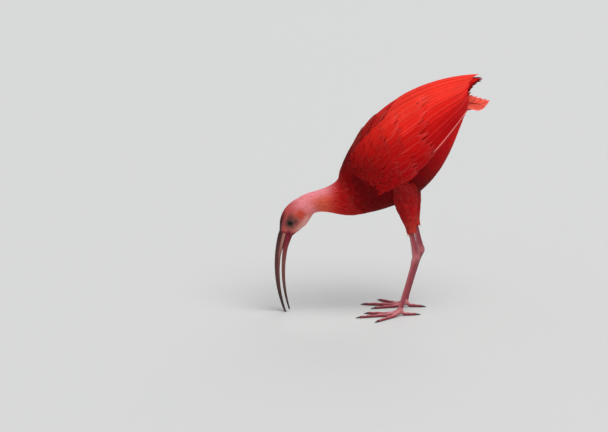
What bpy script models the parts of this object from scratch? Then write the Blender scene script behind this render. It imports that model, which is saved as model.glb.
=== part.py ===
"""Scarlet ibis, life size, standing with its back steep and its bill down.

The bird faces -X, its left side is towards -Y, and the floor is z = 0.
Lengths are in metres and angles in degrees. Every soft form is a loft along
a curve in the bird's middle plane; a place on it is (t, angle): t runs from
the head end to the tail end, and the angle runs from the back line, 0,
over the bird's left side, 90, to the belly line, 180.
"""
import math

import bmesh
import bpy
from mathutils import Matrix, Vector

GAP = 0.0003  # clear space between two pieces that touch
CENTRE = (-0.0095, 0.0)  # middle of the bird's box before it is moved over the origin

# Torso: middle line, then half sizes at the neck end, the fullest place and the tail end
TORSO_LINE = ((-0.0620, 0.1860), (-0.0272, 0.2022), (0.0936, 0.3320), (0.1243, 0.3373))
TORSO_DEPTH = (0.0332, 0.0650, 0.0075)
TORSO_WIDTH = (0.0250, 0.0450, 0.0140)
TORSO_FULLEST = 0.395
TORSO_END = 0.91
TORSO_GRID = (26, 13)

# Neck, from the back of the head down to the torso
NECK_LINE = ((-0.1282, 0.1686), (-0.1129, 0.1815), (-0.0819, 0.1767), (-0.0620, 0.1860))
NECK_DEPTH = (0.0170, 0.0158, 0.0332)
NECK_WIDTH = (0.0155, 0.0142, 0.0250)
NECK_SLIMMEST = 0.20

# Head, from the root of the bill back to the neck
HEAD_LINE = ((-0.1580, 0.1266), (-0.1522, 0.1424), (-0.1412, 0.1577), (-0.1282, 0.1686))
HEAD_DEPTH = (0.0110, 0.0205, 0.0170)
HEAD_WIDTH = (0.0080, 0.0175, 0.0155)
HEAD_FULLEST = 0.60

EYE_PLACE = (0.36, 82.0)
EYE_RADIUS = 0.0046
EYE_SUNK = 0.0031
LID_RADIUS = 0.0011

# Bill: an arc that bends back towards the feet
BILL_LENGTH = 0.1280
BILL_PITCH = (72.0, 108.0)
BILL_DEPTH = (0.0200, 0.0044)
BILL_WIDTH = (0.0140, 0.0042)
UPPER_SHARE = 0.58
GAPE_ANGLE = 2.2
NOSTRIL_LENGTH = 0.0090
NOSTRIL_PLACE = 0.085

# Legs: (x, y, z) of the knee, the hock and the foot's base
LEGS = {
    "left": ((0.0220, -0.0220, 0.2120), (0.0440, -0.0260, 0.0930), (0.0190, -0.0290, 0.0085)),
    "right": ((0.0280, 0.0230, 0.2120), (0.0530, 0.0280, 0.0940), (0.0290, 0.0320, 0.0085)),
}
THIGH_RADIUS = (0.0205, 0.0066)
THIGH_SHARE = 0.60
SHIN_RADIUS = 0.0040
HOCK_RADIUS = 0.0062
TARSUS_RADIUS = 0.0035
FOOT_TURN = {"left": 14.0, "right": 10.0}

# Toes: name, length, angle outwards from the middle toe, radius at the root, joints
TOES = (
    ("inner", 0.0480, -27.0, 0.0031, 2),
    ("middle", 0.0620, 0.0, 0.0034, 3),
    ("outer", 0.0530, 36.0, 0.0031, 3),
    ("hind", 0.0240, 176.0, 0.0029, 1),
)
TOE_TIP_RADIUS = 0.0020
CLAW_LENGTH = 0.0080
SOLE_FLAT = 0.00035
WEB_SHARE = 0.42
WEB_THICKNESS = 0.0012

# Folded wing: a wider, longer loft round the torso, on which the feathers lie
WING_LINE = ((-0.0380, 0.1954), (-0.0066, 0.2303), (0.0742, 0.3303), (0.1521, 0.3651))
WING_DEPTH = (0.0454, 0.0688, 0.0171)
WING_WIDTH = (0.0310, 0.0580, 0.0160)
WING_FULLEST = 0.348
WING_SQUARE = 0.80
WING_START, WING_CORE_END = 0.035, 0.52
WING_TOP, WING_BOTTOM = 8.0, 124.0
ROW_SLANT = 0.16
THIN_WIDTH = 0.0300  # where the wing is slimmer than this, its rows lie closer
MIDDLE_CLEARANCE = 0.0006

VANE = 0.0005  # thickness of one feather
ROLL = 0.0006  # how far a feather's lower edge lifts over its lower neighbour
ROOT_SUNK = 0.0009

# Feather rows of one wing, front to back: level below the wing's outline, how much
# deeper the lowest one's tip lies, count, share of the slanted length at the roots,
# angles of the first and last root, t and angle of the first and last tip, half width
ROWS = {
    "lesser": (0.0004, 0.0020, 6, 0.065, (50.0, 108.0), ((0.235, 50.0), (0.140, 116.0)), 0.0084),
    "median": (0.0026, 0.0020, 6, 0.125, (46.0, 108.0), ((0.350, 46.0), (0.215, 118.0)), 0.0092),
    "greater": (0.0046, 0.0024, 7, 0.185, (38.0, 108.0), ((0.540, 36.0), (0.330, 120.0)), 0.0092),
    "secondary": (0.0064, 0.0044, 10, 0.255, (12.0, 106.0), ((0.975, 9.0), (0.815, 110.0)), 0.0096),
}
# The same for the scapulars, which lie higher the nearer they are to the back line,
# and for the primaries, where the roots' t changes along the row too
SCAPULARS = (-0.0010, 0.0032, 4, (0.215, 0.110), (9.0, 36.0), ((0.64, 9.0), (0.36, 46.0)), 0.0090)
SCAPULAR_SINK = (0.20, 0.0135)  # from this t on they sink by so much for a whole t
PRIMARIES = (0.0116, 0.0036, 4, (0.42, 0.48), (110.0, 80.0), ((0.85, 106.0), (1.0, 44.0)), 0.0084)
SEGMENT = 0.030  # longest straight piece of a vane
TIP_CURVE = 0.0055  # how far a tip's corners lie behind its middle

# Tail: reach of the middle feathers' tips, then how far the outer tips stay behind,
# spread to the side, and the drop of each feather under its neighbour
TAIL_ROOT = (0.1120, 0.3330)
TAIL_TIP = (0.1572, 0.3335)
TAIL_SHORTER = 0.0100
TAIL_FEATHERS = 6
TAIL_SPREAD = 0.0200
TAIL_STEP = 0.00088
TAIL_ROOF = 0.0045
TAIL_HALF_WIDTH = 0.0078
TAIL_COVERTS = 3


def make_material(name, colour, roughness):
    material = bpy.data.materials.new(name)
    material.use_nodes = True
    shader = material.node_tree.nodes["Principled BSDF"]
    shader.inputs["Base Color"].default_value = (*colour, 1.0)
    shader.inputs["Roughness"].default_value = roughness
    shader.inputs["Metallic"].default_value = 0.0
    return material


def mix(a, b, share):
    return a + (b - a) * share


def ease(share):
    share = min(max(share, 0.0), 1.0)
    return share * share * (3.0 - 2.0 * share)


class Line:
    """A Bezier curve in the middle plane, walked by its true length."""

    STEPS = 160

    def __init__(self, corners):
        self.corners = [Vector((x, 0.0, z)) for x, z in corners]
        self.points = [self.bezier(i / self.STEPS) for i in range(self.STEPS + 1)]
        self.lengths = [0.0]
        for a, b in zip(self.points, self.points[1:]):
            self.lengths.append(self.lengths[-1] + (b - a).length)
        self.length = self.lengths[-1]

    def bezier(self, u):
        a, b, c, d = self.corners
        v = 1.0 - u
        return a * v**3 + b * 3 * v * v * u + c * 3 * v * u * u + d * u**3

    def at(self, t):
        """The point, the direction towards the tail and the direction of the back."""
        inside = min(max(t, 0.0), 1.0)
        target = inside * self.length
        low, high = 0, self.STEPS
        while high - low > 1:
            middle = (low + high) // 2
            if self.lengths[middle] > target:
                high = middle
            else:
                low = middle
        share = (target - self.lengths[low]) / (self.lengths[high] - self.lengths[low])
        u = (low + share) / self.STEPS
        point = self.bezier(u)
        ahead = (self.bezier(min(u + 0.004, 1.0)) - self.bezier(max(u - 0.004, 0.0))).normalized()
        point = point + ahead * (t - inside) * self.length
        return point, ahead, Vector((-ahead.z, 0.0, ahead.x))


def swell(t, sizes, fullest):
    """A half size that eases from the first end to the fullest place and on to the last end."""
    start, peak, end = sizes
    if t < fullest:
        return start + (peak - start) * math.sin(math.pi / 2 * t / fullest)
    return end + (peak - end) * math.cos(math.pi / 2 * (min(t, 1.0) - fullest) / (1.0 - fullest))


def squared(value, power):
    return math.copysign(abs(value) ** power, value)


class Form:
    """A loft round a line: a place on it is a share of its length and an angle from the back."""

    def __init__(self, line, depth, width, fullest, square=1.0):
        self.line = Line(line)
        self.depth = depth
        self.width = width
        self.fullest = fullest
        self.square = square

    def at(self, t, angle, out=0.0):
        point, _, back = self.line.at(t)
        a = math.radians(angle)
        deep = swell(t, self.depth, self.fullest) + out
        wide = swell(t, self.width, self.fullest) + out
        side = -wide * squared(math.sin(a), self.square)
        return point + back * deep * squared(math.cos(a), self.square) + Vector((0.0, side, 0.0))

    def scale(self, t, angle):
        """Metres for a whole t and for one degree of angle, at a place."""
        near = min(t, 0.99)
        along = (self.at(near + 0.01, angle) - self.at(near - 0.01, angle)).length / 0.02
        around = (self.at(near, angle + 2.0) - self.at(near, angle - 2.0)).length / 4.0
        return along, around

    def outward(self, t, angle):
        """The direction straight out of the surface."""
        along = self.at(t + 0.01, angle) - self.at(t - 0.01, angle)
        around = self.at(t, angle + 1.0) - self.at(t, angle - 1.0)
        return around.cross(along).normalized()

    def mesh(self, name, around, rings, start=0.0, end=1.0, out=0.0):
        """The closed loft from t = start to t = end."""
        bm = bmesh.new()
        bmesh.ops.create_grid(bm, x_segments=around, y_segments=rings, size=1.0)
        for v in bm.verts:
            t = mix(start, end, (v.co.y + 1.0) / 2)
            v.co = self.at(t, 180.0 * (v.co.x + 1.0), out)
        return closed_object(name, bm)


def closed_object(name, bm):
    """Welds the seam and fills the two ends."""
    bmesh.ops.remove_doubles(bm, verts=bm.verts, dist=1e-6)
    ends = [e for e in bm.edges if e.is_boundary]
    if ends:
        bmesh.ops.holes_fill(bm, edges=ends, sides=0)
    return new_object(name, bm)


def face_outwards(bm):
    bmesh.ops.recalc_face_normals(bm, faces=bm.faces)
    if bm.calc_volume(signed=True) < 0:
        bmesh.ops.reverse_faces(bm, faces=bm.faces)


def new_object(name, bm):
    face_outwards(bm)
    mesh = bpy.data.meshes.new(name)
    bm.to_mesh(mesh)
    bm.free()
    made = bpy.data.objects.new(name, mesh)
    bpy.context.scene.collection.objects.link(made)
    return made


def slab(name, along, across, place):
    """A thin closed sheet; place(s, side, under) gives its points, under 0 on top and 1 beneath.

    It is split into triangles before it gets its thickness, so both faces are split alike.
    """
    bm = bmesh.new()
    bmesh.ops.create_grid(bm, x_segments=along, y_segments=across, size=1.0)
    bmesh.ops.triangulate(bm, faces=bm.faces)
    top = bm.faces[:]
    copied = bmesh.ops.duplicate(bm, geom=bm.verts[:] + bm.edges[:] + top)
    beneath = [g for g in copied["geom"] if isinstance(g, bmesh.types.BMVert)]
    bmesh.ops.translate(bm, verts=beneath, vec=(0.0, 0.0, -1.0))
    bmesh.ops.bridge_loops(bm, edges=[e for e in bm.edges if e.is_boundary])
    for v in bm.verts:
        v.co = place((v.co.x + 1.0) / 2, v.co.y, 1.0 if v.co.z < -0.5 else 0.0)
    return new_object(name, bm)


def boolean(body, others, operation, solver="EXACT"):
    """Joins the others to the body, or cuts them from it, and removes them."""
    group = bpy.data.collections.new(body.name + "_pieces")
    bpy.context.scene.collection.children.link(group)
    for other in others:
        bpy.context.scene.collection.objects.unlink(other)
        group.objects.link(other)
    modifier = body.modifiers.new(operation, "BOOLEAN")
    modifier.operation = operation
    modifier.solver = solver
    modifier.operand_type = "COLLECTION"
    modifier.collection = group
    bpy.context.view_layer.update()
    graph = bpy.context.evaluated_depsgraph_get()
    result = bpy.data.meshes.new_from_object(body.evaluated_get(graph))
    body.modifiers.clear()
    body.data = result
    for other in others:
        bpy.data.objects.remove(other)
    bpy.data.collections.remove(group)
    keep_largest(body)
    return body


def keep_largest(body):
    """Drops every closed surface but the largest, so that the node is one body."""
    bm = bmesh.new()
    bm.from_mesh(body.data)
    bmesh.ops.triangulate(bm, faces=bm.faces)
    bm.faces.ensure_lookup_table()
    left = set(bm.faces)
    shells = []
    while left:
        shell = {left.pop()}
        front = list(shell)
        while front:
            for edge in front.pop().edges:
                for face in edge.link_faces:
                    if face in left:
                        left.remove(face)
                        shell.add(face)
                        front.append(face)
        shells.append(shell)
    largest = max(shells, key=len)
    loose = [face for shell in shells if shell is not largest for face in shell]
    bmesh.ops.delete(bm, geom=loose, context="FACES")
    bm.to_mesh(body.data)
    bm.free()


def finish(body, material):
    body.data.materials.clear()
    body.data.materials.append(material)
    body.data.shade_smooth()
    body.data.set_sharp_from_angle(angle=math.radians(40.0))
    return body


def tube(name, points, radii, sides, squash=1.0):
    """A round limb through the points, with a radius at each; squash flattens it sideways."""
    bm = bmesh.new()
    bmesh.ops.create_grid(bm, x_segments=sides, y_segments=len(points) - 1, size=1.0)
    last = len(points) - 1
    for v in bm.verts:
        i = round((v.co.y + 1.0) / 2 * last)
        a = math.pi * (v.co.x + 1.0)
        ahead = (points[min(i + 1, last)] - points[max(i - 1, 0)]).normalized()
        side = ahead.cross(Vector((1.0, 0.0, 0.3))).normalized()
        up = side.cross(ahead)
        v.co = points[i] + up * radii[i] * math.cos(a) + side * radii[i] * squash * math.sin(a)
    return closed_object(name, bm)


def mirror(made):
    """Turns a left piece into a right one."""
    bm = bmesh.new()
    bm.from_mesh(made.data)
    bmesh.ops.scale(bm, vec=(1.0, -1.0, 1.0), verts=bm.verts)
    bmesh.ops.reverse_faces(bm, faces=bm.faces)
    bm.to_mesh(made.data)
    bm.free()


TORSO = Form(TORSO_LINE, TORSO_DEPTH, TORSO_WIDTH, TORSO_FULLEST)
NECK = Form(NECK_LINE, NECK_DEPTH, NECK_WIDTH, NECK_SLIMMEST)
HEAD = Form(HEAD_LINE, HEAD_DEPTH, HEAD_WIDTH, HEAD_FULLEST)
WING = Form(WING_LINE, WING_DEPTH, WING_WIDTH, WING_FULLEST, WING_SQUARE)


def torso(material):
    return finish(TORSO.mesh("torso", *TORSO_GRID, 0.0, TORSO_END), material)


def torso_cutter(clearance):
    share = clearance / TORSO.line.length
    return TORSO.mesh("cutter", *TORSO_GRID, -share, TORSO_END + share, clearance)


def neck(material):
    """Its two ends are cut parallel to the faces that they meet."""
    made = NECK.mesh("neck", 24, 12)
    nape, _, _ = HEAD.line.at(1.0)
    _, ahead, _ = NECK.line.at(0.0)
    made = trim(made, nape, -ahead)
    breast, ahead, _ = TORSO.line.at(0.0)
    return finish(trim(made, breast - ahead * GAP, ahead), material)


def eye_centre(side):
    t, angle = EYE_PLACE
    centre = HEAD.at(t, angle) - HEAD.outward(t, angle) * EYE_SUNK
    return Vector((centre.x, centre.y * (1.0 if side == "left" else -1.0), centre.z))


def eye(side, material, grown=0.0):
    bm = bmesh.new()
    bmesh.ops.create_icosphere(bm, subdivisions=3, radius=EYE_RADIUS + grown)
    bmesh.ops.translate(bm, verts=bm.verts, vec=eye_centre(side))
    return finish(new_object("eye_" + side, bm), material)


def lid(side):
    """The raised rim of bare skin round one eye."""
    t, angle = EYE_PLACE
    out = HEAD.outward(t, angle)
    if side == "right":
        out.y = -out.y
    centre = eye_centre(side) + out * 0.0026
    bm = bmesh.new()
    bmesh.ops.create_circle(bm, segments=5, radius=LID_RADIUS, cap_ends=False)
    bmesh.ops.rotate(bm, verts=bm.verts, matrix=Matrix.Rotation(math.pi / 2, 3, "X"))
    bmesh.ops.translate(bm, verts=bm.verts, vec=(EYE_RADIUS, 0.0, 0.0))
    bmesh.ops.spin(
        bm, geom=bm.verts[:] + bm.edges[:], cent=(0, 0, 0), axis=(0, 0, 1),
        angle=math.tau, steps=16, use_merge=True,
    )
    turn = out.to_track_quat("Z", "Y").to_matrix()
    bmesh.ops.rotate(bm, verts=bm.verts, matrix=turn)
    bmesh.ops.translate(bm, verts=bm.verts, vec=centre)
    return new_object("lid_" + side, bm)


def head(material):
    nape, _, _ = HEAD.line.at(1.0)
    _, ahead, _ = NECK.line.at(0.0)
    body = trim(HEAD.mesh("head", 24, 12), nape - ahead * GAP, ahead)
    body = boolean(body, [lid("left"), lid("right")], "UNION")
    sockets = [eye("left", material, GAP), eye("right", material, GAP)]
    return finish(boolean(body, sockets, "DIFFERENCE"), material)


def bill_frame(u):
    """Point, direction towards the tip and direction of the bill's upper side, at share u."""
    bend = math.radians(BILL_PITCH[1] - BILL_PITCH[0])
    start = math.radians(BILL_PITCH[0])
    radius = BILL_LENGTH / bend
    a = start + bend * u
    point = Vector((HEAD_LINE[0][0], 0.0, HEAD_LINE[0][1]))
    point.x -= radius * (math.sin(a) - math.sin(start))
    point.z += radius * (math.cos(a) - math.cos(start))
    ahead = Vector((-math.cos(a), 0.0, -math.sin(a)))
    return point, ahead, Vector((-math.sin(a), 0.0, math.cos(a)))


def mandible(name, upper, material):
    """One half of the bill: a tapered half round, flat on its cutting side."""
    bm = bmesh.new()
    bmesh.ops.create_grid(bm, x_segments=14, y_segments=15, size=1.0)
    length = 1.0 if upper else 0.975
    for v in bm.verts:
        u = mix(-0.01, length, (v.co.y + 1.0) / 2)
        point, _, top = bill_frame(u)
        taper = (1.0 - u) ** 0.85
        deep = mix(BILL_DEPTH[1], BILL_DEPTH[0], taper) * (UPPER_SHARE if upper else 1.0 - UPPER_SHARE)
        wide = mix(BILL_WIDTH[1], BILL_WIDTH[0], taper) * (1.0 if upper else 0.86)
        round_share = abs(v.co.x) / 0.72
        if round_share <= 1.0:
            height = deep * math.cos(math.pi / 2 * round_share) ** 0.9
            across = math.copysign(wide / 2 * math.sin(math.pi / 2 * round_share), v.co.x)
        else:
            height = 0.0
            across = math.copysign(wide / 2 * (1.0 - abs(v.co.x)) / 0.28, v.co.x)
        height += GAP
        v.co = point + top * (height if upper else -height) + Vector((0.0, across, 0.0))
    made = closed_object(name, bm)
    hinge, ahead, _ = bill_frame(0.0)
    if upper:
        made = trim(boolean(made, [nostril(1.0), nostril(-1.0)], "DIFFERENCE"))
    else:
        turn = Matrix.Rotation(math.radians(-GAPE_ANGLE), 4, "Y")
        made.data.transform(Matrix.Translation(hinge) @ turn @ Matrix.Translation(-hinge))
    back = HEAD.line.at(0.0)[1]
    return finish(trim(made, hinge - back * GAP, back), material)


def nostril(side):
    """A slit along the bill's side, near its root."""
    point, ahead, top = bill_frame(NOSTRIL_PLACE)
    bm = bmesh.new()
    bmesh.ops.create_icosphere(bm, subdivisions=2, radius=1.0)
    bmesh.ops.scale(bm, vec=(0.0007, 0.0012, NOSTRIL_LENGTH / 2), verts=bm.verts)
    turn = ahead.to_track_quat("Z", "Y").to_matrix()
    bmesh.ops.rotate(bm, verts=bm.verts, matrix=turn)
    place = point + top * 0.0062 + Vector((0.0, side * 0.0056, 0.0))
    bmesh.ops.translate(bm, verts=bm.verts, vec=place)
    return new_object("nostril", bm)


def thigh(side, material):
    knee, hock, _ = (Vector(p) for p in LEGS[side])
    steps = 7
    points = [knee.lerp(hock, THIGH_SHARE * i / steps) for i in range(steps + 1)]
    radii = [mix(THIGH_RADIUS[1], THIGH_RADIUS[0], math.cos(math.pi / 2 * i / steps)) for i in range(steps + 1)]
    made = tube("thigh_" + side, points, radii, 16)
    around = [torso_cutter(GAP + 0.0001), wing_room(side)]
    return finish(boolean(made, around, "DIFFERENCE"), material)


def wing_room(side):
    """The room that the folded wing takes up, a little larger than the wing."""

    def place(s, across, under):
        t = mix(0.0, 1.0, s)
        angle = mix(WING_TOP - 4.0, WING_BOTTOM + 3.0, (across + 1.0) / 2)
        return WING.at(t, angle, mix(0.0010, -0.016, under))

    made = slab("cutter", 20, 14, place)
    if side == "right":
        mirror(made)
    return made


def leg(side, material):
    """The bare shin, the hock and the long tarsus."""
    knee, hock, base = (Vector(p) for p in LEGS[side])
    shin = (hock - knee).normalized()
    top = knee.lerp(hock, THIGH_SHARE) + shin * GAP
    points = [top.lerp(hock, s) for s in (0.0, 0.35, 0.70, 0.88)]
    points += [hock + shin * 0.001]
    points += [hock.lerp(base, s) for s in (0.08, 0.20, 0.50, 0.85)]
    points += [base + (hock - base).normalized() * 0.0045]
    radii = [SHIN_RADIUS * 0.9, SHIN_RADIUS, SHIN_RADIUS * 1.1, HOCK_RADIUS * 0.85, HOCK_RADIUS]
    radii += [HOCK_RADIUS * 0.88, TARSUS_RADIUS * 1.15, TARSUS_RADIUS, TARSUS_RADIUS, TARSUS_RADIUS * 1.2]
    return finish(tube("leg_" + side, points, radii, 12, 0.88), material)


def foot_point(side, toe_angle, reach, height):
    base = Vector(LEGS[side][2])
    outward = -1.0 if side == "left" else 1.0
    a = math.radians(toe_angle + FOOT_TURN[side])
    return Vector((base.x - math.cos(a) * reach, base.y + outward * math.sin(a) * reach, height))


def toe_path(side, toe):
    """Centres and radii of one toe, with a pad under each joint."""
    _, length, angle, root, joints = toe
    points, radii = [], []
    steps = 2 * joints + 2
    base = Vector(LEGS[side][2])
    for i in range(steps + 1):
        s = i / steps
        radius = mix(root, TOE_TIP_RADIUS, s) * (1.10 if i % 2 == 0 else 0.90)
        low = radius - SOLE_FLAT
        rise = (base.z - low) * max(1.0 - s * 3.0, 0.0) ** 1.5
        points.append(foot_point(side, angle, 0.0015 + length * s, low + rise))
        radii.append(radius)
    return points, radii


def foot(side, material):
    """Four toes and the webs between the front three, on small flats under the pads."""
    base = Vector(LEGS[side][2])
    up = (Vector(LEGS[side][1]) - base).normalized()
    heel = [base + up * 0.0042, base + up * 0.0015, base - up * 0.002, Vector((base.x, base.y, 0.003))]
    radii = [TARSUS_RADIUS * s for s in (1.2, 1.35, 1.4, 0.8)]
    body = tube("foot_" + side, heel, radii, 12)
    pieces = [tube("toe", *toe_path(side, toe), 8) for toe in TOES]
    pieces += [web(side, TOES[0], TOES[1]), web(side, TOES[1], TOES[2])]
    return finish(trim(boolean(body, pieces, "UNION")), material)


def web(side, first, second):
    """The skin between two front toes, with a hollow front edge."""

    def place(s, across, under):
        between = (across + 1.0) / 2
        angle = mix(first[2], second[2], between)
        reach = WEB_SHARE * mix(first[1], second[1], between)
        reach *= 1.0 - 0.45 * math.sin(math.pi * between)
        drop = max(1.0 - s * 2.0, 0.0) * 0.0035
        return foot_point(side, angle, 0.002 + reach * s, 0.0026 + drop - under * WEB_THICKNESS)

    return slab("web", 3, 4, place)


def trim(body, point=(0.0, 0.0, 0.0), outward=(0.0, 0.0, -1.0)):
    """Cuts the body flat at a plane; without one named, level with the floor."""
    bm = bmesh.new()
    bm.from_mesh(body.data)
    geom = bm.verts[:] + bm.edges[:] + bm.faces[:]
    bmesh.ops.bisect_plane(bm, geom=geom, plane_co=point, plane_no=outward, clear_outer=True)
    ends = [e for e in bm.edges if e.is_boundary]
    if ends:
        bmesh.ops.holes_fill(bm, edges=ends, sides=0)
    face_outwards(bm)
    bm.to_mesh(body.data)
    bm.free()
    return body


def claw(side, toe, material):
    points, radii = toe_path(side, toe)
    tip, ahead = points[-1], (points[-1] - points[-2]).normalized()
    steps = 5
    path = []
    for i in range(steps + 1):
        s = i / steps
        path.append(tip + ahead * (GAP + CLAW_LENGTH * s) - Vector((0.0, 0.0, 0.0012 * s * s)))
    widths = [radii[-1] * 0.82 * (1.0 - s / steps) ** 0.7 + 0.0003 for s in range(steps + 1)]
    return finish(trim(tube("claw_" + side + "_" + toe[0], path, widths, 8, 0.75)), material)


def slanted(share, angle):
    """The t of a place on a row that runs further back towards the top of the wing."""
    return share - ROW_SLANT * (angle / 90.0 - 0.8)


def core_depth(t, angle):
    """How far the wing's core lies under its outline: the rows' roots step down its slope."""
    share = slanted(t, 2 * 72.0 - angle)
    depth = 0.0019 + 0.031 * (share - 0.07) if share < 0.26 else 0.0078 + 0.013 * (share - 0.26)
    depth += 0.008 * max((angle - 104.0) / 20.0, 0.0) ** 2 + 0.003 * max((22.0 - angle) / 14.0, 0.0)
    return max(depth, 0.0)


def feather(root, tip, half_width, level, tip_level, sink):
    """One vane on the wing's outline, from a root sunk in the core to a rounded tip."""
    rise_from = core_depth(*root) + ROOT_SUNK
    length = (WING.at(*tip) - WING.at(*root)).length

    def place(s, across, under):
        along = s - TIP_CURVE / length * across * across * s * s
        t, angle = mix(root[0], tip[0], along), mix(root[1], tip[1], along)
        per_t, per_degree = WING.scale(t, angle)
        run = Vector(((tip[0] - root[0]) * per_t, (tip[1] - root[1]) * per_degree))
        run.normalize()
        wide = half_width * mix(0.42, 1.0, ease(s / 0.5)) * mix(1.0, 0.42, max(s - 0.70, 0.0) / 0.30)
        off = across * wide
        depth = mix(rise_from, mix(level, tip_level, s), ease(s / 0.33)) + under * VANE
        depth += max(t - sink[0], 0.0) * sink[1]
        depth *= min(swell(t, WING.width, WING.fullest) / THIN_WIDTH, 1.0)
        lift = ROLL * across * mix(0.3, 1.0, ease(s / 0.33))
        return WING.at(t - run.y * off / per_t, angle + run.x * off / per_degree, lift - depth)

    return slab("vane", max(3, round(length / SEGMENT)), 2, place)


def feather_row(level, deeper, count, root_ts, root_angles, tips, half_width, taper=1.0, sink=(1.0, 0.0)):
    vanes = []
    for i in range(count):
        s = i / (count - 1)
        root = (mix(*root_ts, s), mix(*root_angles, s))
        tip = (mix(tips[0][0], tips[1][0], s), mix(tips[0][1], tips[1][1], s))
        drop = deeper * math.sin(math.pi / 2 * s)
        wide = half_width * mix(1.0, taper, s)
        vanes.append(feather(root, tip, wide, level + 0.3 * drop, level + drop, sink))
    return vanes


def wing_feathers():
    """Every vane of the left wing, from the hidden primaries out to the scapulars."""
    vanes = feather_row(*PRIMARIES, 0.72)
    for level, deeper, count, share, angles, tips, half_width in ROWS.values():
        root_ts = tuple(slanted(share, angle) for angle in angles)
        vanes += feather_row(level, deeper, count, root_ts, angles, tips, half_width)
    return vanes + feather_row(*SCAPULARS, sink=SCAPULAR_SINK)


def wing(side, material):
    """The core of the folded wing with its rows of feathers, clear of the torso."""

    def place(s, across, under):
        t = mix(WING_START, WING_CORE_END, s)
        angle = mix(WING_TOP, WING_BOTTOM, (across + 1.0) / 2)
        return WING.at(t, angle, mix(-core_depth(t, angle), -0.022, under))

    made = slab("wing_" + side, 11, 14, place)
    made = boolean(made, wing_feathers(), "UNION", "MANIFOLD")
    around = [torso_cutter(GAP + 0.0001), middle_cutter()]
    made = boolean(made, around, "DIFFERENCE", "MANIFOLD")
    if side == "right":
        mirror(made)
    return finish(made, material)


def middle_cutter():
    """Keeps the left wing on its own side of the middle plane."""
    bm = bmesh.new()
    bmesh.ops.create_cube(bm, size=1.0)
    bmesh.ops.translate(bm, verts=bm.verts, vec=(0.0, 0.5 - MIDDLE_CLEARANCE, 0.2))
    return new_object("cutter", bm)


def tail_vane(x_range, y_range, height, half_width):
    """A vane that lies on the tail's roof; height is its level at the root and at the tip."""

    def place(s, across, under):
        x = mix(*x_range, s - 0.07 * across * across * s)
        wide = half_width * mix(0.7, 1.0, ease(s / 0.5)) * mix(1.0, 0.35, max(s - 0.72, 0.0) / 0.28)
        y = mix(*y_range, s) + across * wide
        z = mix(*height, s) - TAIL_ROOF * (y / TAIL_SPREAD) ** 2
        return Vector((x, y, z - under * VANE * 1.2))

    return slab("vane", 3, 2, place)


def tail(material):
    """The tail's root and its feathers, the middle pair uppermost, with coverts above and below."""
    body = TORSO.mesh("tail", 20, 6, TORSO_END + 2 * GAP / TORSO.line.length, 1.03)
    vanes = []
    for k in range(TAIL_FEATHERS):
        for order, side in enumerate((-1.0, 1.0)):
            level = TAIL_STEP * (2 * k + order)
            tip_y = side * mix(0.0024, TAIL_SPREAD, k / (TAIL_FEATHERS - 1))
            tip_x = TAIL_TIP[0] - TAIL_SHORTER * (k / (TAIL_FEATHERS - 1)) ** 1.5
            x = (TAIL_ROOT[0], tip_x)
            z = (TAIL_ROOT[1] - level * 0.6 + 0.0030, TAIL_TIP[1] - level + 0.0030)
            vanes.append(tail_vane(x, (tip_y * 0.5, tip_y), z, TAIL_HALF_WIDTH))
    for k in range(TAIL_COVERTS):
        s = k / (TAIL_COVERTS - 1) * 2.0 - 1.0
        shorter = 0.008 * s * s
        y = (0.007 * s, 0.012 * s)
        over = TAIL_ROOT[1] + 0.0045 + 0.0008 * (k % 2)
        vanes.append(tail_vane((0.1080, 0.1400 - shorter), y, (over, over + 0.0010), 0.0070))
        beneath = TAIL_ROOT[1] - 0.0105 - 0.0009 * (k % 2)
        vanes.append(tail_vane((0.1060, 0.1380 - shorter), y, (beneath + 0.002, beneath), 0.0070))
    made = boolean(body, vanes, "UNION", "MANIFOLD")
    made = boolean(made, [torso_cutter(GAP + 0.0001)], "DIFFERENCE", "MANIFOLD")
    return finish(made, material)


def main():
    for old in list(bpy.data.objects):
        bpy.data.objects.remove(old)
    plumage = make_material("scarlet_plumage", (0.72, 0.03, 0.02), 0.75)
    neck_plumage = make_material("neck_plumage", (0.80, 0.18, 0.10), 0.75)
    skin = make_material("bare_skin", (0.62, 0.20, 0.20), 0.5)
    bill_horn = make_material("bill_horn", (0.30, 0.13, 0.11), 0.4)
    eye_gloss = make_material("eye_gloss", (0.03, 0.015, 0.01), 0.1)
    claw_horn = make_material("claw_horn", (0.10, 0.06, 0.06), 0.4)
    torso(plumage)
    tail(plumage)
    neck(neck_plumage)
    head(neck_plumage)
    mandible("bill_upper", True, bill_horn)
    mandible("bill_lower", False, bill_horn)
    for side in LEGS:
        eye(side, eye_gloss)
        thigh(side, plumage)
        leg(side, skin)
        foot(side, skin)
        wing(side, plumage)
        for toe in TOES:
            claw(side, toe, claw_horn)
    for made in bpy.data.objects:
        made.data.transform(Matrix.Translation((-CENTRE[0], -CENTRE[1], 0.0)))


main()
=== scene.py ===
# %% [markdown]
# # A life-size scarlet ibis
#
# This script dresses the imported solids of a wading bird: it gives it a skin, feathers, a horn bill,
# glossy eyes and scaly legs, and lights it in a plain studio. Each step first says what the thing is on
# the real bird, then how it can be made in Blender.
#
# The bird faces -X, its left side is towards -Y, and it stands on z = 0. Lengths are in metres.

# %% Load the frame
import math
from types import SimpleNamespace

import bmesh
import bpy
import numpy as np
from mathutils import Matrix, Vector
from mathutils.kdtree import KDTree


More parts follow.
